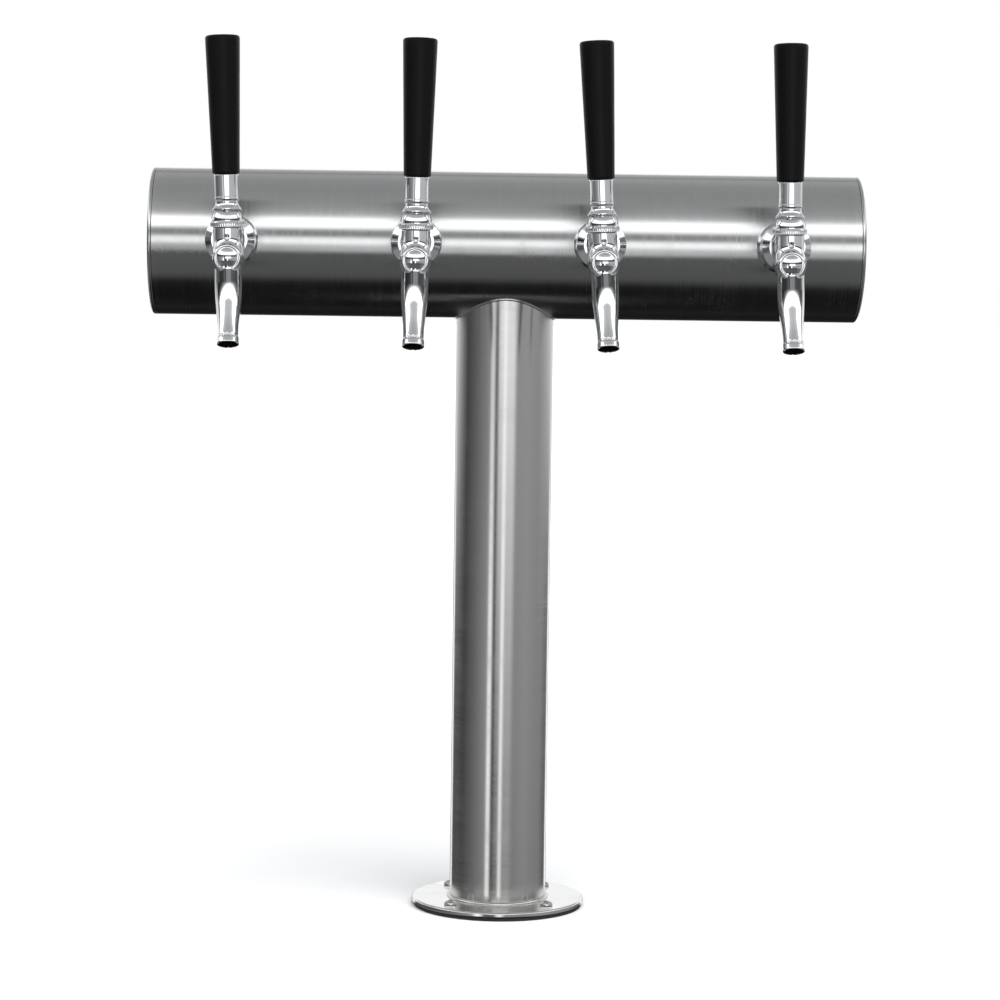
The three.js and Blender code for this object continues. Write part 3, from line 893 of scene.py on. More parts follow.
links.new(sizes.outputs["Seed"], uneven.inputs["W"])
links.new(wave.outputs["Value"], swell.inputs[0])
links.new(uneven.outputs["Fac"], swell.inputs[2])
links.new(on_saddle.outputs["Geometry"], thickness.inputs["Curve"])
links.new(swell.outputs["Value"], thickness.inputs["Radius"])
links.new(sizes.outputs["Bead radius"], section.inputs["Radius"])
links.new(thickness.outputs["Curve"], sweep.inputs["Curve"])
links.new(section.outputs["Curve"], sweep.inputs["Profile Curve"])
links.new(sweep.outputs["Mesh"], solid.inputs["Geometry"])
links.new(solid.outputs["Geometry"], paint.inputs["Geometry"])
links.new(sizes.outputs["Material"], paint.inputs["Material"])
links.new(paint.outputs["Geometry"], out.inputs["Geometry"])

weld_steel = steel(
    "polished_weld", (0.58, 0.57, 0.55), roughness=0.24, grain=(260, 260, 260),
    grain_depth=0.000012, smears=0.08,
)
saddle_weld = grown("saddle_weld", weld_tree, {
    "Path radius": column_radius + 0.0002, "Saddle radius": cross_radius, "Height": cross_height,
    "Bead radius": 0.0010, "Ripples": 140, "Seed": 3, "Material": weld_steel,
})
smooth(saddle_weld.data, 60)
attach(saddle_weld, "tower")

# ---------------------------------------------------------------- base flange and gasket
# The column is welded into a round polished plate, drilled for four screws. A black rubber
# gasket under the plate seals it on the counter.

hole_tree = bpy.data.node_groups.new("Holes in a ring", "GeometryNodeTree")
sockets = hole_tree.interface
sockets.new_socket("Geometry", in_out="INPUT", socket_type="NodeSocketGeometry")
for label, kind in [
    ("Count", "Int"), ("Circle radius", "Float"), ("First angle", "Float"), ("Height", "Float"),
    ("Hole radius", "Float"), ("Hole depth", "Float"), ("Towards the axis", "Bool"), ("Material", "Material"),
]:
    sockets.new_socket(label, in_out="INPUT", socket_type=f"NodeSocket{kind}")
sockets.new_socket("Geometry", in_out="OUTPUT", socket_type="NodeSocketGeometry")
nodes, links = hole_tree.nodes, hole_tree.links
sizes = nodes.new("NodeGroupInput")
sizes.location = (-1200, 0)
ring = nodes.new("GeometryNodeMeshCircle")
ring.label = "Ring of holes"
ring.location = (-900, 200)
drill = nodes.new("GeometryNodeMeshCylinder")
drill.label = "Drill"
drill.location = (-900, -100)
drill.inputs["Vertices"].default_value = 32
place = nodes.new("GeometryNodeInputPosition")
place.location = (-900, -400)
inward = nodes.new("FunctionNodeAlignRotationToVector")
inward.label = "Point at the axis"
inward.location = (-700, -400)
inward.axis = "Z"
which = nodes.new("GeometryNodeSwitch")
which.label = "At the axis or upright"
which.location = (-500, -300)
which.input_type = "ROTATION"
drills = nodes.new("GeometryNodeInstanceOnPoints")
drills.label = "A drill at each"
drills.location = (-300, 100)
lift = nodes.new("ShaderNodeCombineXYZ")
lift.location = (-300, -200)
swing = nodes.new("ShaderNodeCombineXYZ")
swing.location = (-300, -350)
set_height = nodes.new("GeometryNodeTransform")
set_height.label = "To its height"
set_height.location = (-100, 100)
real = nodes.new("GeometryNodeRealizeInstances")
real.location = (100, 0)
carve = nodes.new("GeometryNodeMeshBoolean")
carve.label = "Drill the holes"
carve.location = (300, 200)
carve.operation = "DIFFERENCE"
solid = nodes.new("GeometryNodeRealizeInstances")
solid.location = (500, 200)
paint = nodes.new("GeometryNodeSetMaterial")
paint.location = (700, 200)
out = nodes.new("NodeGroupOutput")
out.location = (900, 200)
links.new(sizes.outputs["Count"], ring.inputs["Vertices"])
links.new(sizes.outputs["Circle radius"], ring.inputs["Radius"])
links.new(sizes.outputs["Hole radius"], drill.inputs["Radius"])
links.new(sizes.outputs["Hole depth"], drill.inputs["Depth"])
links.new(place.outputs["Position"], inward.inputs["Vector"])
links.new(sizes.outputs["Towards the axis"], which.inputs["Switch"])
links.new(inward.outputs["Rotation"], which.inputs["True"])
links.new(ring.outputs["Mesh"], drills.inputs["Points"])
links.new(drill.outputs["Mesh"], drills.inputs["Instance"])
links.new(which.outputs["Output"], drills.inputs["Rotation"])
links.new(sizes.outputs["Height"], lift.inputs["Z"])
links.new(sizes.outputs["First angle"], swing.inputs["Z"])
links.new(drills.outputs["Instances"], set_height.inputs["Geometry"])
links.new(lift.outputs["Vector"], set_height.inputs["Translation"])
links.new(swing.outputs["Vector"], set_height.inputs["Rotation"])
links.new(set_height.outputs["Geometry"], real.inputs["Geometry"])
links.new(sizes.outputs["Geometry"], carve.inputs["Mesh 1"])
links.new(real.outputs["Geometry"], carve.inputs["Mesh 2"])
links.new(carve.outputs["Mesh"], solid.inputs["Geometry"])
links.new(solid.outputs["Geometry"], paint.inputs["Geometry"])
links.new(sizes.outputs["Material"], paint.inputs["Material"])
links.new(paint.outputs["Geometry"], out.inputs["Geometry"])

flange_low, flange_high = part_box("base_flange")
flange_radius = flange_high.x * 1000
flange_foot, flange_top = flange_low.z * 1000, flange_high.z * 1000
column_hole = column_radius * 1000 + 0.3
screw_circle = 0.053
bright_steel = steel(
    "bright_steel", (0.72, 0.71, 0.69), roughness=0.17, grain=(320, 320, 320),
    grain_depth=0.000004, smears=0.08, waves=0.00008,
)
flange_mesh = turned([
    (column_hole, flange_foot), (flange_radius, flange_foot), (flange_radius, flange_top - 1),
    (flange_radius - 1, flange_top), (column_hole, flange_top),
], corner=0.9, steps=128)
flange = grown("base_plate", hole_tree, {
    "Count": 4, "Circle radius": screw_circle, "First angle": math.pi / 4, "Height": flange_low.z,
    "Hole radius": 0.003, "Hole depth": 0.02, "Towards the axis": False, "Material": bright_steel,
}, flange_mesh)
smooth(flange.data)
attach(flange, "tower")
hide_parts("base_flange")

foot_weld = grown("foot_weld", weld_tree, {
    "Path radius": column_radius + 0.0006, "Saddle radius": 0.0, "Height": flange_high.z + 0.0002,
    "Bead radius": 0.0017, "Ripples": 120, "Seed": 8, "Material": weld_steel,
})
smooth(foot_weld.data, 60)
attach(foot_weld, "tower")


def moulded(name, colour, roughness, grain, grain_depth, dust, gloss=0.5, soft=0.0):
    """Plastic, rubber or foam. grain is how often its skin's texture repeats, per metre."""
    material = bpy.data.materials.new(name)
    material.use_nodes = True
    nodes, links = material.node_tree.nodes, material.node_tree.links
    nodes.clear()
    skin_frame = nodes.new("NodeFrame")
    skin_frame.label = "Moulded skin"
    use_frame = nodes.new("NodeFrame")
    use_frame.label = "Dust and rubbed edges"
    coords = nodes.new("ShaderNodeTexCoord")
    coords.label = "Place on the tower"
    coords.location = (-1300, 0)
    skin = nodes.new("ShaderNodeTexNoise")
    skin.label = "Skin texture"
    skin.location = (-1000, 200)
    skin.parent = skin_frame
    skin.inputs["Scale"].default_value = grain
    skin.inputs["Detail"].default_value = 5.0
    skin_rough = nodes.new("ShaderNodeMapRange")
    skin_rough.label = "Texture in the gloss"
    skin_rough.location = (-700, 200)
    skin_rough.parent = skin_frame
    skin_rough.inputs["From Min"].default_value = 0.3
    skin_rough.inputs["From Max"].default_value = 0.7
    skin_rough.inputs["To Min"].default_value = roughness * 0.85
    skin_rough.inputs["To Max"].default_value = min(1.0, roughness * 1.15)
    relief = nodes.new("ShaderNodeBump")
    relief.label = "Skin relief"
    relief.location = (-400, -300)
    relief.parent = skin_frame
    relief.inputs["Strength"].default_value = 1.0
    relief.inputs["Distance"].default_value = grain_depth
    handled = nodes.new("ShaderNodeTexNoise")
    handled.label = "Where it is handled"
    handled.location = (-1000, -150)
    handled.parent = use_frame
    handled.inputs["Scale"].default_value = 45.0
    handled.inputs["Detail"].default_value = 4.0
    handled_rough = nodes.new("ShaderNodeMapRange")
    handled_rough.label = "Dull patches"
    handled_rough.location = (-700, -150)
    handled_rough.parent = use_frame
    handled_rough.inputs["From Min"].default_value = 0.45
    handled_rough.inputs["From Max"].default_value = 0.75
    handled_rough.inputs["To Max"].default_value = dust
    edges = nodes.new("ShaderNodeNewGeometry")
    edges.label = "Edges"
    edges.location = (-1000, -450)
    edges.parent = use_frame
    edges_only = nodes.new("ShaderNodeMapRange")
    edges_only.label = "Rubbed edges"
    edges_only.location = (-700, -450)
    edges_only.parent = use_frame
    edges_only.inputs["From Min"].default_value = 0.52
    edges_only.inputs["From Max"].default_value = 0.65
    edges_only.inputs["To Max"].default_value = 0.6
    tone = nodes.new("ShaderNodeMix")
    tone.label = "Uneven colour"
    tone.location = (-400, 400)
    tone.data_type = "RGBA"
    tone.inputs["A"].default_value = (*[c * 0.85 for c in colour], 1)
    tone.inputs["B"].default_value = (*[min(1, c * 1.15) for c in colour], 1)
    rubbed = nodes.new("ShaderNodeMix")
    rubbed.label = "Paler where rubbed"
    rubbed.location = (-200, 400)
    rubbed.data_type = "RGBA"
    rubbed.inputs["B"].default_value = (*[min(1, c * 1.5 + 0.01) for c in colour], 1)
    total = nodes.new("ShaderNodeMath")
    total.label = "Skin and dust"
    total.location = (-400, 100)
    total.operation = "ADD"
    plastic = nodes.new("ShaderNodeBsdfPrincipled")
    plastic.label = name
    plastic.location = (0, 200)
    plastic.inputs["Specular IOR Level"].default_value = gloss
    plastic.inputs["Subsurface Weight"].default_value = soft
    plastic.inputs["Subsurface Scale"].default_value = 0.002
    out = nodes.new("ShaderNodeOutputMaterial")
    out.location = (300, 200)
    links.new(coords.outputs["Object"], skin.inputs["Vector"])
    links.new(coords.outputs["Object"], handled.inputs["Vector"])
    links.new(skin.outputs["Fac"], skin_rough.inputs["Value"])
    links.new(skin.outputs["Fac"], relief.inputs["Height"])
    links.new(skin.outputs["Fac"], tone.inputs["Factor"])
    links.new(handled.outputs["Fac"], handled_rough.inputs["Value"])
    links.new(edges.outputs["Pointiness"], edges_only.inputs["Value"])
    links.new(skin_rough.outputs["Result"], total.inputs[0])
    links.new(handled_rough.outputs["Result"], total.inputs[1])
    links.new(total.outputs["Value"], plastic.inputs["Roughness"])
    links.new(tone.outputs["Result"], rubbed.inputs["A"])
    links.new(edges_only.outputs["Result"], rubbed.inputs["Factor"])
    links.new(rubbed.outputs["Result"], plastic.inputs["Base Color"])
    links.new(relief.outputs["Normal"], plastic.inputs["Normal"])
    links.new(plastic.outputs["BSDF"], out.inputs["Surface"])
    return material


rubber = moulded(
    "gasket_rubber", (0.02, 0.02, 0.021), roughness=0.72, grain=900, grain_depth=0.00004, dust=0.15
)
gasket_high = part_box("base_gasket")[1]
gasket_rim, gasket_hole = gasket_high.x * 1000, column_radius * 1000 - 2
gasket_top = gasket_high.z * 1000
gasket_mesh = turned([
    (gasket_hole, 0), (gasket_rim, 0), (gasket_rim, gasket_top), (gasket_hole, gasket_top),
], corner=0.5, steps=128)
gasket = grown("rubber_gasket", hole_tree, {
    "Count": 4, "Circle radius": screw_circle, "First angle": math.pi / 4, "Height": 0.0,
    "Hole radius": 0.003, "Hole depth": 0.02, "Towards the axis": False, "Material": rubber,
}, gasket_mesh)
smooth(gasket.data)
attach(gasket, "tower")
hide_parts("base_gasket")

# ---------------------------------------------------------------- flange screws
# Four stainless pan-head wood screws hold the plate to the counter. Their threads are in the
# counter, and each head stopped at its own angle when it was driven.

ridge_tree = bpy.data.node_groups.new("Cut ridges in a turned part", "GeometryNodeTree")
sockets = ridge_tree.interface
sockets.new_socket("Geometry", in_out="INPUT", socket_type="NodeSocketGeometry")
for label, kind in [
    ("Starts", "Int"), ("Turns per metre", "Float"), ("Depth", "Float"), ("From", "Float"), ("To", "Float"),
    ("Run-out", "Float"), ("Inside radius", "Float"), ("Material", "Material"),
]:
    sockets.new_socket(label, in_out="INPUT", socket_type=f"NodeSocket{kind}")
sockets.new_socket("Geometry", in_out="OUTPUT", socket_type="NodeSocketGeometry")
nodes, links = ridge_tree.nodes, ridge_tree.links
sizes = nodes.new("NodeGroupInput")
sizes.location = (-1500, 0)
place = nodes.new("GeometryNodeInputPosition")
place.location = (-1500, -400)
split = nodes.new("ShaderNodeSeparateXYZ")
split.location = (-1300, -400)
angle = nodes.new("ShaderNodeMath")
angle.label = "Angle round the axis"
angle.location = (-1100, -200)
angle.operation = "ARCTAN2"
whole_turns = nodes.new("ShaderNodeMath")
whole_turns.label = "In whole turns"
whole_turns.location = (-900, -200)
whole_turns.operation = "DIVIDE"
whole_turns.inputs[1].default_value = 2 * math.pi
by_starts = nodes.new("ShaderNodeMath")
by_starts.label = "One ridge for each start"
by_starts.location = (-700, -200)
by_starts.operation = "MULTIPLY"
climb = nodes.new("ShaderNodeMath")
climb.label = "Climb of the helix"
climb.location = (-900, -400)
climb.operation = "MULTIPLY"
phase = nodes.new("ShaderNodeMath")
phase.label = "Phase of the ridge"
phase.location = (-500, -300)
phase.operation = "SUBTRACT"
tooth = nodes.new("ShaderNodeMath")
tooth.label = "V of the ridge"
tooth.location = (-300, -300)
tooth.operation = "PINGPONG"
tooth.inputs[1].default_value = 0.5
rise = nodes.new("ShaderNodeMapRange")
rise.label = "Runs in"
rise.location = (-900, -650)
start_full = nodes.new("ShaderNodeMath")
start_full.location = (-1100, -650)
start_full.operation = "ADD"
fall = nodes.new("ShaderNodeMapRange")
fall.label = "Runs out"
fall.location = (-900, -950)
fall.inputs["To Min"].default_value = 1
fall.inputs["To Max"].default_value = 0
end_full = nodes.new("ShaderNodeMath")
end_full.location = (-1100, -950)
end_full.operation = "SUBTRACT"
within = nodes.new("ShaderNodeMath")
within.label = "Only between its ends"
within.location = (-600, -800)
within.operation = "MULTIPLY"
flat = nodes.new("ShaderNodeCombineXYZ")
flat.label = "Straight out from the axis"
flat.location = (-1100, -1200)
from_axis = nodes.new("ShaderNodeVectorMath")
from_axis.label = "Distance from the axis"
from_axis.location = (-900, -1200)
from_axis.operation = "LENGTH"
outward = nodes.new("ShaderNodeVectorMath")
outward.location = (-700, -1200)
outward.operation = "NORMALIZE"
outside = nodes.new("ShaderNodeMath")
outside.label = "Not in the bore"
outside.location = (-600, -1000)
outside.operation = "GREATER_THAN"
cut_here = nodes.new("ShaderNodeMath")
cut_here.location = (-400, -900)
cut_here.operation = "MULTIPLY"
deep = nodes.new("ShaderNodeMath")
deep.label = "Depth of the cut"
deep.location = (-100, -500)
deep.operation = "MULTIPLY"
negative = nodes.new("ShaderNodeMath")
negative.location = (50, -700)
negative.operation = "MULTIPLY"
share = nodes.new("ShaderNodeMath")
share.location = (-100, -700)
share.operation = "MULTIPLY"
share.inputs[1].default_value = -2
push = nodes.new("ShaderNodeVectorMath")
push.label = "Cut inwards"
push.location = (250, -500)
push.operation = "SCALE"
shape = nodes.new("GeometryNodeSetPosition")
shape.label = "Cut the ridges"
shape.location = (450, 0)
solid = nodes.new("GeometryNodeRealizeInstances")
solid.location = (650, 0)
paint = nodes.new("GeometryNodeSetMaterial")
paint.location = (850, 0)
out = nodes.new("NodeGroupOutput")
out.location = (1050, 0)
links.new(place.outputs["Position"], split.inputs["Vector"])
links.new(split.outputs["Y"], angle.inputs[0])
links.new(split.outputs["X"], angle.inputs[1])
links.new(angle.outputs["Value"], whole_turns.inputs[0])
links.new(whole_turns.outputs["Value"], by_starts.inputs[0])
links.new(sizes.outputs["Starts"], by_starts.inputs[1])
links.new(split.outputs["Z"], climb.inputs[0])
links.new(sizes.outputs["Turns per metre"], climb.inputs[1])
links.new(climb.outputs["Value"], phase.inputs[0])
links.new(by_starts.outputs["Value"], phase.inputs[1])
links.new(phase.outputs["Value"], tooth.inputs[0])
links.new(split.outputs["Z"], rise.inputs["Value"])
links.new(sizes.outputs["From"], rise.inputs["From Min"])
links.new(sizes.outputs["From"], start_full.inputs[0])
links.new(sizes.outputs["Run-out"], start_full.inputs[1])
links.new(start_full.outputs["Value"], rise.inputs["From Max"])
links.new(split.outputs["Z"], fall.inputs["Value"])
links.new(sizes.outputs["To"], end_full.inputs[0])
links.new(sizes.outputs["Run-out"], end_full.inputs[1])
links.new(end_full.outputs["Value"], fall.inputs["From Min"])
links.new(sizes.outputs["To"], fall.inputs["From Max"])
links.new(rise.outputs["Result"], within.inputs[0])
links.new(fall.outputs["Result"], within.inputs[1])
links.new(split.outputs["X"], flat.inputs["X"])
links.new(split.outputs["Y"], flat.inputs["Y"])
links.new(flat.outputs["Vector"], from_axis.inputs[0])
links.new(flat.outputs["Vector"], outward.inputs[0])
links.new(from_axis.outputs["Value"], outside.inputs[0])
links.new(sizes.outputs["Inside radius"], outside.inputs[1])
links.new(within.outputs["Value"], cut_here.inputs[0])
links.new(outside.outputs["Value"], cut_here.inputs[1])
links.new(tooth.outputs["Value"], deep.inputs[0])
links.new(cut_here.outputs["Value"], deep.inputs[1])
links.new(sizes.outputs["Depth"], share.inputs[0])
links.new(deep.outputs["Value"], negative.inputs[0])
links.new(share.outputs["Value"], negative.inputs[1])
links.new(outward.outputs["Vector"], push.inputs[0])
links.new(negative.outputs["Value"], push.inputs["Scale"])
links.new(sizes.outputs["Geometry"], shape.inputs["Geometry"])
links.new(push.outputs["Vector"], shape.inputs["Offset"])
links.new(shape.outputs["Geometry"], solid.inputs["Geometry"])
links.new(solid.outputs["Geometry"], paint.inputs["Geometry"])
links.new(sizes.outputs["Material"], paint.inputs["Material"])
links.new(paint.outputs["Geometry"], out.inputs["Geometry"])


def carved(mesh, tool, operation="DIFFERENCE"):
    """The mesh after a tool mesh is cut from it, joined to it, or kept only where both are."""
    blank = bpy.data.objects.new("blank", mesh)
    cutter = bpy.data.objects.new("cutter", tool)
    for body in (blank, cutter):
        bpy.context.scene.collection.objects.link(body)
    step = blank.modifiers.new("Carve", "BOOLEAN")
    step.operation = operation
    step.object = cutter
    step.solver = "EXACT"
    done = bpy.data.meshes.new_from_object(blank.evaluated_get(bpy.context.evaluated_depsgraph_get()))
    for body in (blank, cutter):
        bpy.data.objects.remove(body)
    return done


def block(size, centre):
    """A box mesh, sizes in millimetres."""
    corners = [[(s - 0.5) * w + c for s, w, c in zip(signs, size, centre)] for signs in np.ndindex(2, 2, 2)]
    mesh = bpy.data.meshes.new("block")
    faces = [(0, 1, 3, 2), (4, 6, 7, 5), (0, 4, 5, 1), (2, 3, 7, 6), (0, 2, 6, 4), (1, 5, 7, 3)]
    mesh.from_pydata([[c / 1000 for c in corner] for corner in corners], [], faces)
    return mesh


def fine(low, high, step):
    """Heights from low to high, close together, for a part that is going to be threaded."""
    count = round((high - low) / step)
    return [low + (high - low) * i / count for i in range(count + 1)]


screw_steel = steel(
    "screw_steel", (0.68, 0.68, 0.67), roughness=0.2, grain=(500, 500, 500),
    grain_depth=0.000006, smears=0.12,
)
screw_low, screw_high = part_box("flange_screw_1")
screw_tip, screw_top = screw_low.z * 1000, screw_high.z * 1000
under_head = screw_top - 3.2
screw_outline = [(0, screw_tip)]
screw_outline += [(min(2.3, (h - screw_tip) * 0.46), h) for h in fine(screw_tip + 0.3, under_head, 0.25)]
screw_outline += [(5.2, under_head), (5.15, under_head + 0.9)]
for a in (0.3, 0.6, 0.9, 1.2, 1.4):
    screw_outline.append((5.15 * math.cos(a), under_head + 0.9 + 2.3 * math.sin(a)))
screw_outline += [(0, screw_top)]
one_screw = turned(screw_outline, corner=0.2, steps=48)
for turn in (0, math.pi / 2):
    slot_tool = block((5.0, 1.1, 3.0), (0, 0, screw_top + 0.2))
    slot_tool.transform(Matrix.Rotation(turn, 4, "Z"))
    one_screw = carved(one_screw, slot_tool)
threaded_screw = grown("threaded_screw", ridge_tree, {
    "Starts": 1, "Turns per metre": 560, "Depth": 0.0008, "From": screw_low.z + 0.001, "To": 0.003,
    "Run-out": 0.002, "Inside radius": 0.0005, "Material": screw_steel,
}, one_screw)
smooth(threaded_screw.data)

scatter_tree = bpy.data.node_groups.new("Screws on a circle", "GeometryNodeTree")
sockets = scatter_tree.interface
sockets.new_socket("Geometry", in_out="INPUT", socket_type="NodeSocketGeometry")
for label, kind in [
    ("Count", "Int"), ("Circle radius", "Float"), ("First angle", "Float"), ("Seed", "Int"),
    ("Material", "Material"),
]:
    sockets.new_socket(label, in_out="INPUT", socket_type=f"NodeSocket{kind}")
sockets.new_socket("Geometry", in_out="OUTPUT", socket_type="NodeSocketGeometry")
nodes, links = scatter_tree.nodes, scatter_tree.links
sizes = nodes.new("NodeGroupInput")
sizes.location = (-900, 0)
ring = nodes.new("GeometryNodeMeshCircle")
ring.label = "Screw circle"
ring.location = (-700, 200)
swing = nodes.new("ShaderNodeCombineXYZ")
swing.location = (-700, -100)
start = nodes.new("GeometryNodeTransform")
start.label = "Turn to the first screw"
start.location = (-500, 200)
driven = nodes.new("FunctionNodeRandomValue")
driven.label = "Angle each head stopped at"
driven.location = (-500, -200)
driven.data_type = "FLOAT_VECTOR"
driven.inputs["Max"].default_value = (0, 0, 2 * math.pi)
set_screws = nodes.new("GeometryNodeInstanceOnPoints")
set_screws.label = "A screw at each"
set_screws.location = (-250, 200)
solid = nodes.new("GeometryNodeRealizeInstances")
solid.location = (0, 200)
paint = nodes.new("GeometryNodeSetMaterial")
paint.location = (200, 200)
out = nodes.new("NodeGroupOutput")
out.location = (400, 200)
links.new(sizes.outputs["Count"], ring.inputs["Vertices"])
links.new(sizes.outputs["Circle radius"], ring.inputs["Radius"])
links.new(sizes.outputs["First angle"], swing.inputs["Z"])
links.new(ring.outputs["Mesh"], start.inputs["Geometry"])
links.new(swing.outputs["Vector"], start.inputs["Rotation"])
links.new(sizes.outputs["Seed"], driven.inputs["Seed"])
links.new(start.outputs["Geometry"], set_screws.inputs["Points"])
links.new(sizes.outputs["Geometry"], set_screws.inputs["Instance"])
links.new(driven.outputs["Value"], set_screws.inputs["Rotation"])
links.new(set_screws.outputs["Instances"], solid.inputs["Geometry"])
links.new(solid.outputs["Geometry"], paint.inputs["Geometry"])
links.new(sizes.outputs["Material"], paint.inputs["Material"])
links.new(paint.outputs["Geometry"], out.inputs["Geometry"])
screws = grown("pan_head_screws", scatter_tree, {
    "Count": 4, "Circle radius": screw_circle, "First angle": math.pi / 4, "Seed": 5, "Material": screw_steel,
}, threaded_screw.data)
bpy.data.objects.remove(threaded_screw)
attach(screws, "tower")
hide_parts("flange_screw_1", "flange_screw_2", "flange_screw_3", "flange_screw_4")

# ---------------------------------------------------------------- insulation sleeve
# A grey closed-cell foam tube fills the column round the beer lines and keeps them cold. It is
# slit down its length, so that it can be put round the lines before the column goes on.

sleeve_low, sleeve_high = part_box("insulation_sleeve")
sleeve_in, sleeve_out = 22, sleeve_high.x * 1000
sleeve_foot, sleeve_top = sleeve_low.z * 1000, sleeve_high.z * 1000
sleeve_mesh = turned([
    (sleeve_in, sleeve_foot), (sleeve_out, sleeve_foot), (sleeve_out, sleeve_top), (sleeve_in, sleeve_top),
], corner=1.5, steps=64)
slit = block((1.2, 16, 400), (0, 28, 250))
foam = moulded(
    "closed_cell_foam", (0.05, 0.05, 0.055), roughness=0.9, grain=1400, grain_depth=0.00012,
    dust=0.1, gloss=0.3,
)
sleeve = placed("foam_sleeve", carved(sleeve_mesh, slit), Matrix(), foam)
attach(sleeve, "tower")
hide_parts("insulation_sleeve")

# ---------------------------------------------------------------- shank collars
# A chromed collar stands between the cross tube and each shank's head. Its back is hollowed to
# the tube's round, and its front slopes in to the head.

chrome = steel(
    "bright_chrome", (0.80, 0.81, 0.82), roughness=0.055, grain=(260, 260, 260),
    grain_depth=0.0000015, smears=0.10, waves=0.00006,
)
forward = Matrix.Rotation(math.pi / 2, 4, "X")  # +Z of a turned part becomes the front, -Y
faucets = []
for n in (1, 2, 3, 4):
    tilt = next(j for j in frame["joints"] if j["name"] == f"handle_tilt_{n}")
    lean = math.atan2(-tilt["axis"][2], tilt["axis"][0])
    low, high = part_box(f"shank_{n}")
    at_wall = Matrix.Translation(((low.x + high.x) / 2, 0, (low.z + high.z) / 2))
    faucets.append((n, at_wall, at_wall @ Matrix.Rotation(lean, 4, "Y")))

shank_radius, collar_radius, collar_nose = 11.1, 19.5, 16
collar_back, collar_slope, collar_front = 46, 61, 70  # distances forward of the tube's centre line
collar_mesh = turned([
    (shank_radius + 0.4, collar_back), (collar_radius, collar_back), (collar_radius, collar_slope),
    (collar_nose, collar_front), (shank_radius + 0.4, collar_front),
], corner=0.7, steps=96)
collar_mesh.transform(forward)
wall_radius = cross_radius * 1000 + 0.3
wall_tool = turned([(0, -40), (wall_radius, -40), (wall_radius, 40), (0, 40)], corner=0, steps=256)
wall_tool.transform(Matrix.Rotation(math.pi / 2, 4, "Y"))
collar_mesh = carved(collar_mesh, wall_tool)
for n, at_wall, leaning in faucets:
    collar = placed(f"wall_collar_{n}", collar_mesh, at_wall, chrome)
    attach(collar, "tower")
    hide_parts(f"shank_collar_{n}")

# ---------------------------------------------------------------- shanks, locknuts and beer elbows
# A threaded shank passes through the tube's wall at each faucet. A brass locknut holds it from
# inside, and a steel elbow on its end turns the beer line towards the column.

beer_bore, head_radius, shank_end, seat = 3.5, 14.3, 22, 85
shank_outline = [(beer_bore, shank_end)]
shank_outline += [(shank_radius, f) for f in fine(shank_end, collar_front - 4, 0.3)]
shank_outline += [(shank_radius, collar_front + 0.3), (head_radius, collar_front + 0.3)]
shank_outline += [(head_radius, f) for f in fine(collar_front + 2, seat - 1, 0.3)]
shank_outline += [(head_radius, seat), (8.3, seat), (8.3, 73.5), (beer_bore, 73.5)]
shank_turned = turned(shank_outline, corner=0.3, steps=64)
cut_shank = grown("cut_shank", ridge_tree, {
    "Starts": 1, "Turns per metre": 700, "Depth": 0.0008, "From": shank_end / 1000, "To": 0.066,
    "Run-out": 0.002, "Inside radius": 0.0095, "Material": chrome,
}, shank_turned)
cut_head = grown("cut_shank_head", ridge_tree, {
    "Starts": 1, "Turns per metre": 700, "Depth": 0.0008, "From": 0.0735, "To": seat / 1000,
    "Run-out": 0.001, "Inside radius": 0.0125, "Material": chrome,
}, cut_shank.data)
shank_mesh = cut_head.data
shank_mesh.transform(forward)
for blank in (cut_shank, cut_head):
    bpy.data.objects.remove(blank)


def hexagon(across_flats, low, high):
    """A hexagonal nut without its hole, its corners chamfered at both ends."""
    corner = across_flats / math.sqrt(3)
    prism = turned([(0, low), (corner, low), (corner, high), (0, high)], corner=0, steps=6)
    cone = corner * 0.95
    chamfer = turned([
        (0, low), (cone, low), (corner + 0.2, low + 1.2), (corner + 0.2, high - 1.2), (cone, high), (0, high),
    ], corner=0, steps=64)
    return carved(prism, chamfer, "INTERSECT")


brass = steel(
    "machined_brass", (0.72, 0.56, 0.26), roughness=0.27, grain=(500, 60, 500),
    grain_depth=0.00001, smears=0.12,
)
plain_steel = steel(
    "machined_steel", (0.60, 0.60, 0.58), roughness=0.26, grain=(500, 60, 500),
    grain_depth=0.000008, smears=0.1,
)
nut_hole = shank_radius + 0.35
thread_tool = turned([(0, 30), (nut_hole, 30), (nut_hole, 60), (0, 60)], corner=0, steps=48)
nut_mesh = carved(hexagon(across_flats=30, low=41.8, high=49.5), thread_tool)
nut_mesh.transform(forward)

# the beer nut, with the tailpiece's stem in it and its barb out to one side
elbow_mesh = hexagon(across_flats=28, low=10, high=26)
nut_hollow = turned([(0, 18), (nut_hole, 18), (nut_hole, 30), (0, 30)], corner=0.4, steps=48)
elbow_mesh = carved(elbow_mesh, nut_hollow)
stem = turned([(0, 0), (4.4, 0), (4.4, 18.4), (0, 18.4)], corner=0.3, steps=40)
elbow_mesh = carved(elbow_mesh, stem, "UNION")
elbow_mesh.transform(forward)
bend_radius = 5.2
bend_outline = [(0, -bend_radius)]
for a in np.linspace(0, math.pi, 14)[1:-1]:
    bend_outline.append((bend_radius * math.sin(a), -bend_radius * math.cos(a)))
bend = turned(bend_outline + [(0, bend_radius)], corner=0, steps=40)
barb_outline = [(0, 0), (2.5, 0), (2.5, 5)]
for k in range(3):
    barb_outline += [(2.5, 5.5 + 2.7 * k), (2.9, 5.6 + 2.7 * k), (2.45, 8.1 + 2.7 * k)]
barb = turned(barb_outline + [(2.2, 14), (0, 14)], corner=0.08, steps=40)
barb.transform(Matrix.Rotation(math.pi / 2, 4, "Y"))
drill_radius = 1.7
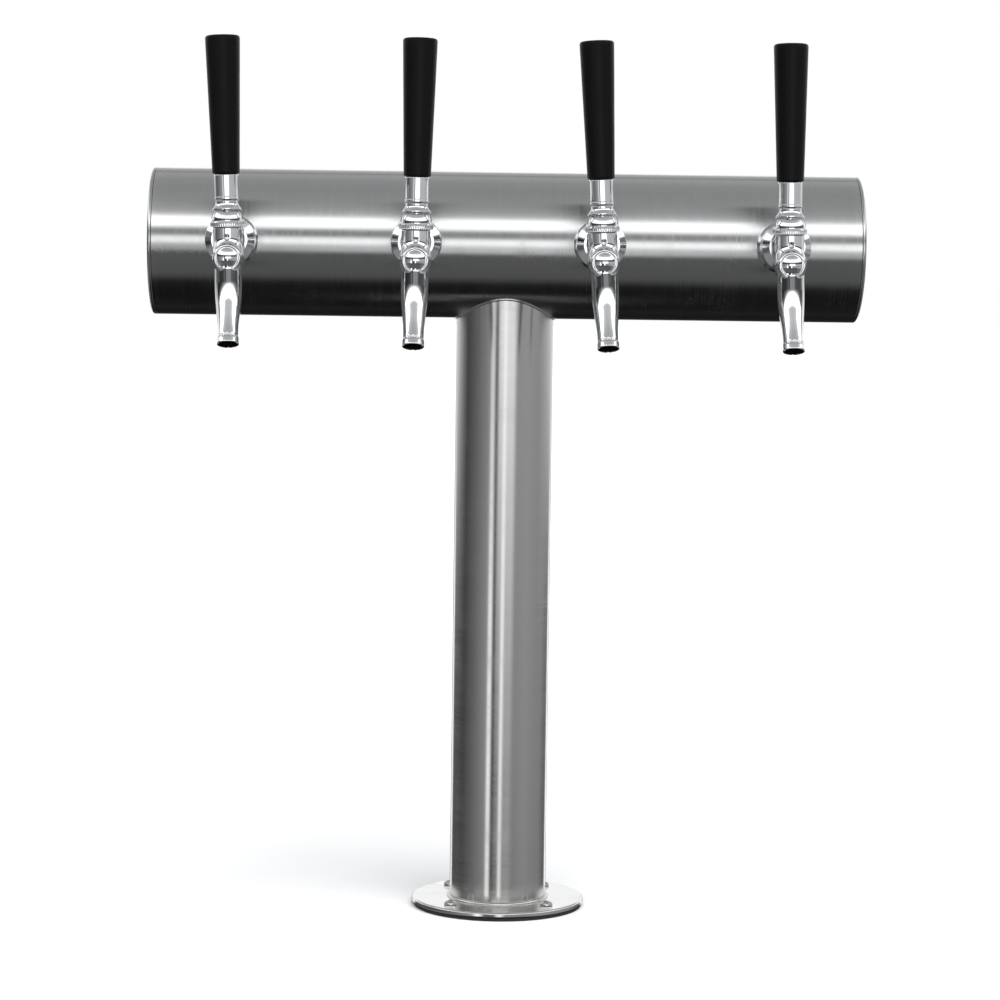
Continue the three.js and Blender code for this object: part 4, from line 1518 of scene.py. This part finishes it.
stem_bore = turned([(0, -1), (drill_radius, -1), (drill_radius, 30), (0, 30)], corner=0, steps=24)
stem_bore.transform(forward)
side_bore = turned([(0, -1), (drill_radius, -1), (drill_radius, 20), (0, 20)], corner=0, steps=24)
side_bore.transform(Matrix.Rotation(math.pi / 2, 4, "Y"))
for tool, operation in (
    (bend, "UNION"), (barb, "UNION"), (stem_bore, "DIFFERENCE"), (side_bore, "DIFFERENCE"),
):
    elbow_mesh = carved(elbow_mesh, tool, operation)
for n, at_wall, leaning in faucets:
    shank = placed(f"threaded_shank_{n}", shank_mesh, at_wall, chrome)
    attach(shank, "tower")
    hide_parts(f"shank_{n}")
    nut = placed(f"brass_locknut_{n}", nut_mesh, at_wall, brass)
    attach(nut, "tower")
    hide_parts(f"shank_locknut_{n}")
    # the barb points at the column, so the two elbows on the far side of it are mirrored
    one_elbow = elbow_mesh.copy()
    if n > 2:
        one_elbow.transform(Matrix.Scale(-1, 4, (1, 0, 0)))
        one_elbow.flip_normals()
    elbow = placed(f"beer_elbow_{n}", one_elbow, at_wall, plain_steel)
    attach(elbow, "tower")
    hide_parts(f"tailpiece_{n}")

# ---------------------------------------------------------------- beer lines
# A milky vinyl hose runs from each elbow through the cross tube and down inside the foam. A
# barbed steel splicer in its lower end takes the line that comes up from the keg.

hose_radius = 0.0058
hose_side, hose_bend, hose_foot = 10, 44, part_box("beer_line_1")[0].z * 1000 + 18
barb_root, pass_behind = 5.5, 22  # the outer lines pass behind the inner faucets' elbows
faucet_spacing = (faucet_x[1] - faucet_x[0]) * 1000
vinyl = moulded(
    "milky_vinyl", (0.75, 0.77, 0.74), roughness=0.28, grain=160, grain_depth=0.00002,
    dust=0.1, gloss=0.5, soft=0.3,
)


def hose_route(x):
    """The line's centre from its elbow to the column's foot, in metres."""
    side = math.copysign(1, x)
    outer = abs(x) > faucet_spacing
    start = abs(x) - barb_root
    back = pass_behind if outer else 0
    down = hose_side if outer else -hose_side
    bend_start = hose_side + hose_bend
    points = [(start, 0, 0)]
    if outer:
        points += [(start - 10, 0, 0), (start - 20, 0.5, 0), (160, 9, 0), (136, 18, 0)]
        points += [(108, back, 0), (82, back, 0)]
    for turn in (0, 22.5, 45, 67.5, 90):
        a = math.radians(turn)
        y = back + (down - back) * (turn / 90) ** 1.5
        points.append((bend_start - hose_bend * math.sin(a), y, hose_bend * (math.cos(a) - 1)))
    foot = hose_foot - cross_height * 1000
    for share in (0.08, 0.3, 0.55, 0.8, 1):
        points.append((hose_side, down, -hose_bend + (foot + hose_bend) * share))
    spots = [Vector((side * a, y, z + cross_height * 1000)) for a, y, z in points]
    before, after = spots[0] * 2 - spots[1], spots[-1] * 2 - spots[-2]
    ends = [before] + spots + [after]
    line = []
    for p0, p1, p2, p3 in zip(ends, ends[1:], ends[2:], ends[3:]):
        k1, k2, k3 = ((b - a).length ** 0.5 for a, b in ((p0, p1), (p1, p2), (p2, p3)))
        t1, t2, t3 = k1, k1 + k2, k1 + k2 + k3
        for share in (0, 0.25, 0.5, 0.75):
            t = t1 + (t2 - t1) * share
            a1 = p0 * ((t1 - t) / t1) + p1 * (t / t1)
            a2 = p1 * ((t2 - t) / (t2 - t1)) + p2 * ((t - t1) / (t2 - t1))
            a3 = p2 * ((t3 - t) / (t3 - t2)) + p3 * ((t - t2) / (t3 - t2))
            b1 = a1 * ((t2 - t) / t2) + a2 * (t / t2)
            b2 = a2 * ((t3 - t) / (t3 - t1)) + a3 * ((t - t1) / (t3 - t1))
            line.append(b1 * ((t2 - t) / (t2 - t1)) + b2 * ((t - t1) / (t2 - t1)))
    return [p / 1000 for p in line + [spots[-1]]]


splicer_mesh = turned([
    (0, -18), (2.2, -18), (2.9, -15.2), (2.5, -15.1), (2.45, -15), (2.9, -12.2), (2.5, -12.1), (2.5, -4),
    (5, -4), (5, 0.5), (3.9, 0.5), (3.9, 8), (0, 8),
], corner=0.15, steps=40)
for n, at_wall, leaning in faucets:
    route = hose_route(at_wall.translation.x * 1000)
    line_data = bpy.data.curves.new(f"vinyl_line_{n}", "CURVE")
    line_data.dimensions = "3D"
    line_data.bevel_depth = hose_radius
    line_data.bevel_resolution = 6
    line_data.use_fill_caps = True
    spline = line_data.splines.new("POLY")
    spline.points.add(len(route) - 1)
    for point, spot in zip(spline.points, route):
        point.co = (*spot, 1)
    line_data.materials.append(vinyl)
    hose = bpy.data.objects.new(f"vinyl_line_{n}", line_data)
    bpy.context.scene.collection.objects.link(hose)
    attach(hose, "tower")
    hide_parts(f"beer_line_{n}")
    splicer = placed(f"splicer_{n}", splicer_mesh, Matrix.Translation(route[-1]), plain_steel)
    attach(splicer, "tower")
    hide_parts(f"beer_line_{n}")

# ---------------------------------------------------------------- coupling nuts
# A chromed ring nut pulls each faucet onto its shank. It has eight round holes for the pin of
# a tap spanner, and its front slopes in to the faucet's neck.

nut_back, nut_front, nut_radius = 74, 94, 18.7
ring_mesh = turned([
    (head_radius + 0.4, nut_back), (nut_radius, nut_back), (nut_radius, nut_front - 5.5),
    (nut_radius - 5, nut_front), (10.95, nut_front), (10.95, seat + 3.7), (head_radius + 0.4, seat + 3.7),
], corner=0.8, steps=128)
ring_nut = grown("ring_nut", hole_tree, {
    "Count": 8, "Circle radius": nut_radius / 1000, "First angle": 0.2, "Height": 0.0808,
    "Hole radius": 0.0021, "Hole depth": 0.0052, "Towards the axis": True, "Material": chrome,
}, ring_mesh)
ring_mesh = ring_nut.data
bpy.data.objects.remove(ring_nut)
for n, at_wall, leaning in faucets:
    nut = placed(f"ring_nut_{n}", ring_mesh, leaning @ forward, chrome)
    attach(nut, "tower")
    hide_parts(f"coupling_nut_{n}")

# ---------------------------------------------------------------- faucet bodies
# Each body is one brass casting, polished and chromed: barrel, upright neck, round elbow with a
# flat boss in front, and a hollow spout. The wheel has softened every place where two forms meet.


def ring_distance(radius, along, outline):
    """Distance to a turned outline, negative inside it; radius 0 is well inside a solid one."""
    best = np.full(radius.shape, 1e9)
    inside = np.zeros(radius.shape, bool)
    for (r0, a0), (r1, a1) in zip(outline, outline[1:] + outline[:1]):
        dr, da = r1 - r0, a1 - a0
        t = np.clip(((radius - r0) * dr + (along - a0) * da) / (dr * dr + da * da), 0, 1)
        best = np.minimum(best, (radius - r0 - t * dr) ** 2 + (along - a0 - t * da) ** 2)
        if da:
            inside ^= ((a0 > along) != (a1 > along)) & (radius < r0 + (along - a0) * dr / da)
    return np.where(inside, -1, 1) * np.sqrt(best)


def eased(share):
    """A smooth step from 0 to 1."""
    share = np.clip(share, 0, 1)
    return share * share * (3 - 2 * share)


def melt(a, b, softness):
    """Joins two distances with a polished fillet between them."""
    h = np.clip(0.5 + 0.5 * (b - a) / softness, 0, 1)
    return b * (1 - h) + a * h - softness * h * (1 - h)


handle_at, elbow_at, elbow_height, spout_lean = 108, 113, -14, math.radians(20)
mouth, axis_in = 68, -60  # the spout's length, and a radius beyond the axis for solid outlines
first_slope, second_slope = 0.22, 0.154  # how fast the spout's line bows out, and comes back
elbow_radius = 12.2


def casting(x, f, z):
    """Distance to the faucet body's surface; f is forward of the tube's centre line."""
    from_barrel = np.hypot(x, z)
    from_upright = np.hypot(x, f - handle_at)
    down = (f - elbow_at) * math.sin(spout_lean) - (z - elbow_height) * math.cos(spout_lean)
    across = (f - elbow_at) * math.cos(spout_lean) + (z - elbow_height) * math.sin(spout_lean)
    # the spout starts out steep and turns forward a third of the way down
    across = across + np.maximum(melt(first_slope * down, second_slope * (mouth - down), 3), 0)
    from_spout = np.hypot(x, across)
    from_boss = np.hypot(x, z - elbow_height)
    barrel = ring_distance(from_barrel, f, [
        (axis_in, 90), (10.6, 90), (10.6, 94), (9.6, 95), (8.4, 95.4), (8.4, 112), (axis_in, 112),
    ])
    upright = ring_distance(from_upright, z, [(axis_in, -8), (10.8, -8), (10.8, 8.5), (axis_in, 8.5)])
    elbow = np.hypot(np.hypot(x, f - elbow_at), z - elbow_height) - elbow_radius
    spout_radius = 10.3 - 2.5 * eased((down - 22) / 36) + 0.5 * eased((down - 62) / 2)
    spout = -melt(spout_radius - from_spout, mouth - down, 0.8)
    spout = np.maximum(spout, -down)
    boss = ring_distance(from_boss, f, [
        (axis_in, 112), (10, 112), (10, 122.2), (9.3, 122.9), (8.6, 122.9), (8.1, 122.2), (7.4, 122.1),
        (5, 122.5), (2.5, 122.75), (axis_in, 122.8),
    ])
    body = melt(melt(barrel, upright, 2.5), melt(elbow, spout, 2), 4)
    body = melt(body, boss, 1.2)
    under_bonnet = ring_distance(from_upright, z, [(10.4, 8.5), (60, 8.5), (60, 40), (10.4, 40)])
    body = np.maximum(body, -under_bonnet)
    bonnet_thread = ring_distance(from_upright, z, [(axis_in, 4), (10.4, 4), (10.4, 11), (axis_in, 11)])
    flange_at_shank = ring_distance(from_barrel, f, [
        (axis_in, 85.3), (12.6, 85.3), (13, 85.7), (13, 88), (12.7, 88.3), (10.6, 88.5), (10.6, 92),
        (axis_in, 92),
    ])
    body = np.minimum(np.minimum(body, bonnet_thread), flange_at_shank)
    valve_bore = ring_distance(from_barrel, f, [
        (axis_in, 80), (8.3, 80), (8.3, 90.5), (5.5, 92.5), (5.5, 116), (axis_in, 116),
    ])
    ball_socket = np.hypot(from_upright, z - 13) - 8.6
    finger_slot = np.maximum(np.maximum(np.abs(x) - 3, np.abs(f - 103.5) - 8), np.abs(z - 3) - 6)
    waterway = ring_distance(from_spout, down, [
        (axis_in, -6), (5.8, -6), (6, 58), (7.2, 61), (7.3, 75), (axis_in, 75),
    ])
    vent = ring_distance(np.hypot(x, z - 1), f, [
        (axis_in, 108), (1.6, 108), (1.6, 117.9), (2.2, 118.9), (2.2, 130), (axis_in, 130),
    ])
    for hollow in (valve_bore, ball_socket, finger_slot, waterway, vent):
        body = np.maximum(body, -hollow)
    return body


def skinned(distance, low, high, step):
    """The zero surface of a distance as a mesh of even quads, pulled exactly onto the surface."""
    counts = [int((b - a) / step) + 2 for a, b in zip(low, high)]
    axes = [a + step * np.arange(c) for a, c in zip(low, counts)]
    values = distance(*np.meshgrid(*axes, indexing="ij"))
    inside = values < 0
    cells = tuple(c - 1 for c in counts)
    total, crossings = np.zeros((*cells, 3)), np.zeros(cells)
    base = np.stack(np.meshgrid(*[a[:-1] for a in axes], indexing="ij"), -1)
    corners = [np.array(c) for c in np.ndindex(2, 2, 2)]

    def at(array, corner):
        return array[tuple(slice(c, c + n) for c, n in zip(corner, cells))]

    for first in corners:
        for axis in range(3):
            if first[axis]:
                continue
            second = first.copy()
            second[axis] = 1
            a, b = at(values, first), at(values, second)
            cross = (a < 0) != (b < 0)
            share = np.where(cross, a / np.where(a == b, 1, a - b), 0)
            spot = base + step * (first + share[..., None] * (second - first))
            total += spot * cross[..., None]
            crossings += cross
    used = crossings > 0
    number = np.full(cells, -1)
    number[used] = np.arange(used.sum())
    spots = total[used] / crossings[used][:, None]
    for _ in range(5):
        d = distance(*spots.T)
        slope = np.stack([
            (distance(*(spots + 0.02 * e).T) - distance(*(spots - 0.02 * e).T)) / 0.04 for e in np.eye(3)
        ], -1)
        move = (d / np.maximum((slope ** 2).sum(-1), 0.3))[:, None] * slope
        spots = spots - np.clip(move, -0.3 * step, 0.3 * step)
    faces = []
    for axis in range(3):
        u, v = (axis + 1) % 3, (axis + 2) % 3
        one = [slice(1, c - 1) for c in counts]
        one[axis] = slice(0, counts[axis] - 1)
        two = list(one)
        two[axis] = slice(1, counts[axis])
        a, b = inside[tuple(one)], inside[tuple(two)]
        where = np.argwhere(a != b) + [s.start for s in one]
        rising = a[a != b]
        around = []
        for du, dv in ((0, 0), (1, 0), (1, 1), (0, 1)):
            cell = where.copy()
            cell[:, u] -= du
            cell[:, v] -= dv
            around.append(number[tuple(cell.T)])
        quads = np.stack(around, -1)
        quads[~rising] = quads[~rising][:, ::-1]
        faces.append(quads)
    mesh = bpy.data.meshes.new("skin")
    mesh.from_pydata((spots / 1000).tolist(), [], np.concatenate(faces).tolist())
    mesh.validate()
    return mesh


body_mesh = skinned(casting, (-14.3, 83.7, -82.3), (14.3, 147, 13.7), 0.55)
body_mesh.transform(Matrix.Scale(-1, 4, (0, 1, 0)))
body_mesh.flip_normals()
# a near-black metal for the waterway inside the spout: painted shade for the dark hollow of the mouth, not
# the colour of brass
shaded_waterway = steel(
    "waterway_in_painted_shade", (0.10, 0.085, 0.06), roughness=0.5, grain=(400, 400, 400),
    grain_depth=0.00002, smears=0.1,
)
painted_shade_from, plating_reach, waterway_edge = 30, 1.2, 7.35
for n, at_wall, leaning in faucets:
    body = placed(f"cast_body_{n}", body_mesh, leaning, chrome, angle=45)
    body.data.materials.append(shaded_waterway)
    # the chrome stops just inside the mouth, and the waterway behind it is painted near black: painted shade
    # for the dark hollow inside the spout
    to_casting = leaning.inverted()
    for facet in body.data.polygons:
        x, back, z = to_casting @ facet.center * 1000
        down = (-back - elbow_at) * math.sin(spout_lean) - (z - elbow_height) * math.cos(spout_lean)
        across = (-back - elbow_at) * math.cos(spout_lean) + (z - elbow_height) * math.sin(spout_lean)
        from_axis = math.hypot(x, across + second_slope * (mouth - down))
        if painted_shade_from < down < mouth - plating_reach and from_axis < waterway_edge:
            facet.material_index = 1
    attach(body, "tower")
    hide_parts(f"faucet_body_{n}")

# ---------------------------------------------------------------- valve shafts
# A steel shaft slides in each barrel. Its seat closes the faucet from behind, and
# the lever's finger works in the slot of the flat eye at its front.

shaft_mesh = turned([
    (0, 83), (4, 83), (4, 86.5), (7.4, 86.5), (7.4, 90), (3, 90), (3, 101), (0, 101),
], corner=0.3, steps=48)
shaft_mesh.transform(forward)
eye = block((8, 15, 3), (0, -107.5, 0))
shaft_mesh = carved(shaft_mesh, eye, "UNION")
shaft_mesh = carved(shaft_mesh, block((4.3, 8.6, 6), (0, -handle_at, 0)))
for n, at_wall, leaning in faucets:
    shaft = placed(f"slotted_shaft_{n}", shaft_mesh, leaning, plain_steel)
    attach(shaft, f"valve_{n}")
    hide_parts(f"valve_shaft_{n}")

# ---------------------------------------------------------------- bonnets
# The bonnet screws down over the lever's ball and holds it in its socket. It is a domed chrome
# ring, with fine flutes round its foot for the fingers.


def arc(centre, radius, first, last, steps):
    """Points of a circle about a place on the axis, angles in degrees from straight up."""
    angles = np.radians(np.linspace(first, last, steps + 1))
    return [(radius * math.sin(a), centre + radius * math.cos(a)) for a in angles]


pivot = 13
on_handle = Matrix.Translation((0, -handle_at / 1000, 0))
bonnet_outline = [(10.75, 8.8), (12.8, 8.8)] + [(12.8, h) for h in fine(9.2, 11.8, 0.26)] + [(12.5, 12.2)]
bonnet_outline += arc(pivot, 12.1, 90, 54, 12) + arc(pivot, 8.5, 62, 95, 12) + [(8.6, 11.3), (10.75, 11.3)]
bonnet_turned = turned(bonnet_outline, corner=0.25, steps=288)
fluted = grown("fluted_bonnet", ridge_tree, {
    "Starts": 48, "Turns per metre": 0.0, "Depth": 0.00028, "From": 0.0091, "To": 0.0119,
    "Run-out": 0.0005, "Inside radius": 0.0121, "Material": chrome,
}, bonnet_turned)
bonnet_mesh = fluted.data
bpy.data.objects.remove(fluted)
for n, at_wall, leaning in faucets:
    bonnet = placed(f"fluted_bonnet_{n}", bonnet_mesh, leaning @ on_handle, chrome, angle=40)
    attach(bonnet, "tower")
    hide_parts(f"bonnet_{n}")

# ---------------------------------------------------------------- levers, ferrules and knobs
# One chromed forging makes the finger, the ball, a domed skirt that sheds drips over the bonnet,
# and a stud. A chrome ferrule and the moulded black tap handle screw down on the stud.

neck, skirt_in, skirt_top, ferrule_top, knob_top = 3.5, 12.7, 28.4, 48, 150.3
ball_top = math.degrees(math.asin(neck / 8))
skirt_start = math.degrees(math.asin(neck / skirt_in))
rim = arc(pivot, skirt_in, skirt_start, 50, 14)
lever_outline = [(0, -4.6), (1.2, -4.6), (1.75, -4)] + arc(pivot, 8, 167.5, ball_top, 24) + rim
rim_radius, rim_height = rim[-1]
lever_outline += [(rim_radius + 1.0, rim_height + 0.05), (rim_radius + 1.15, rim_height + 0.6)]
for share in np.linspace(0, 1, 12):
    swell = rim_radius + 1.1 + (8.8 - rim_radius - 1.1) * share - 0.75 * math.sin(math.pi * share)
    lever_outline.append((swell, rim_height + 1.6 + (skirt_top - 0.6 - rim_height - 1.6) * share))
lever_outline += [(8.7, skirt_top), (4.6, skirt_top), (4.6, ferrule_top - 1), (0, ferrule_top - 1)]
lever_mesh = turned(lever_outline, corner=0.3, steps=96)

ferrule_foot = skirt_top + 0.3
ferrule_mesh = turned([
    (4.95, ferrule_foot), (8.7, ferrule_foot), (9.2, ferrule_foot + 0.7), (9.2, ferrule_foot + 2.2),
    (9.0, ferrule_foot + 2.5), (9.15, ferrule_foot + 2.8), (9.2, ferrule_top - 0.9), (8.7, ferrule_top),
    (4.95, ferrule_top),
], corner=0.35, steps=96)

knob_foot = ferrule_top + 0.3
knob_outline = [(0, knob_foot), (9.4, knob_foot), (10.2, knob_foot + 0.8)]
for share in np.linspace(0.02, 1, 24):
    knob_outline.append((10.2 + 2.7 * share, knob_foot + 1 + (knob_top - 3.4 - knob_foot) * share))
knob_outline += [(12.75, knob_top - 1.5), (12.1, knob_top - 0.6), (11.1, knob_top - 0.25)]
knob_outline += [(6, knob_top - 0.05), (0, knob_top)]
knob_mesh = turned(knob_outline, corner=0.6, steps=96)
phenolic = moulded(
    "black_phenolic", (0.004, 0.004, 0.0045), roughness=0.32, grain=700, grain_depth=0.000006,
    dust=0.12, gloss=0.1,
)
for n, at_wall, leaning in faucets:
    for label, mesh, finish, node, kind in (
        ("forged_lever", lever_mesh, chrome, "lever", "chrome"),
        ("chrome_ferrule", ferrule_mesh, chrome, "ferrule", "chrome"),
        ("tap_handle", knob_mesh, phenolic, "knob", "black_knob"),
    ):
        piece = placed(f"{label}_{n}", mesh, leaning @ on_handle, finish)
        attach(piece, f"handle_{n}")
        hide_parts(f"{node}_{n}")
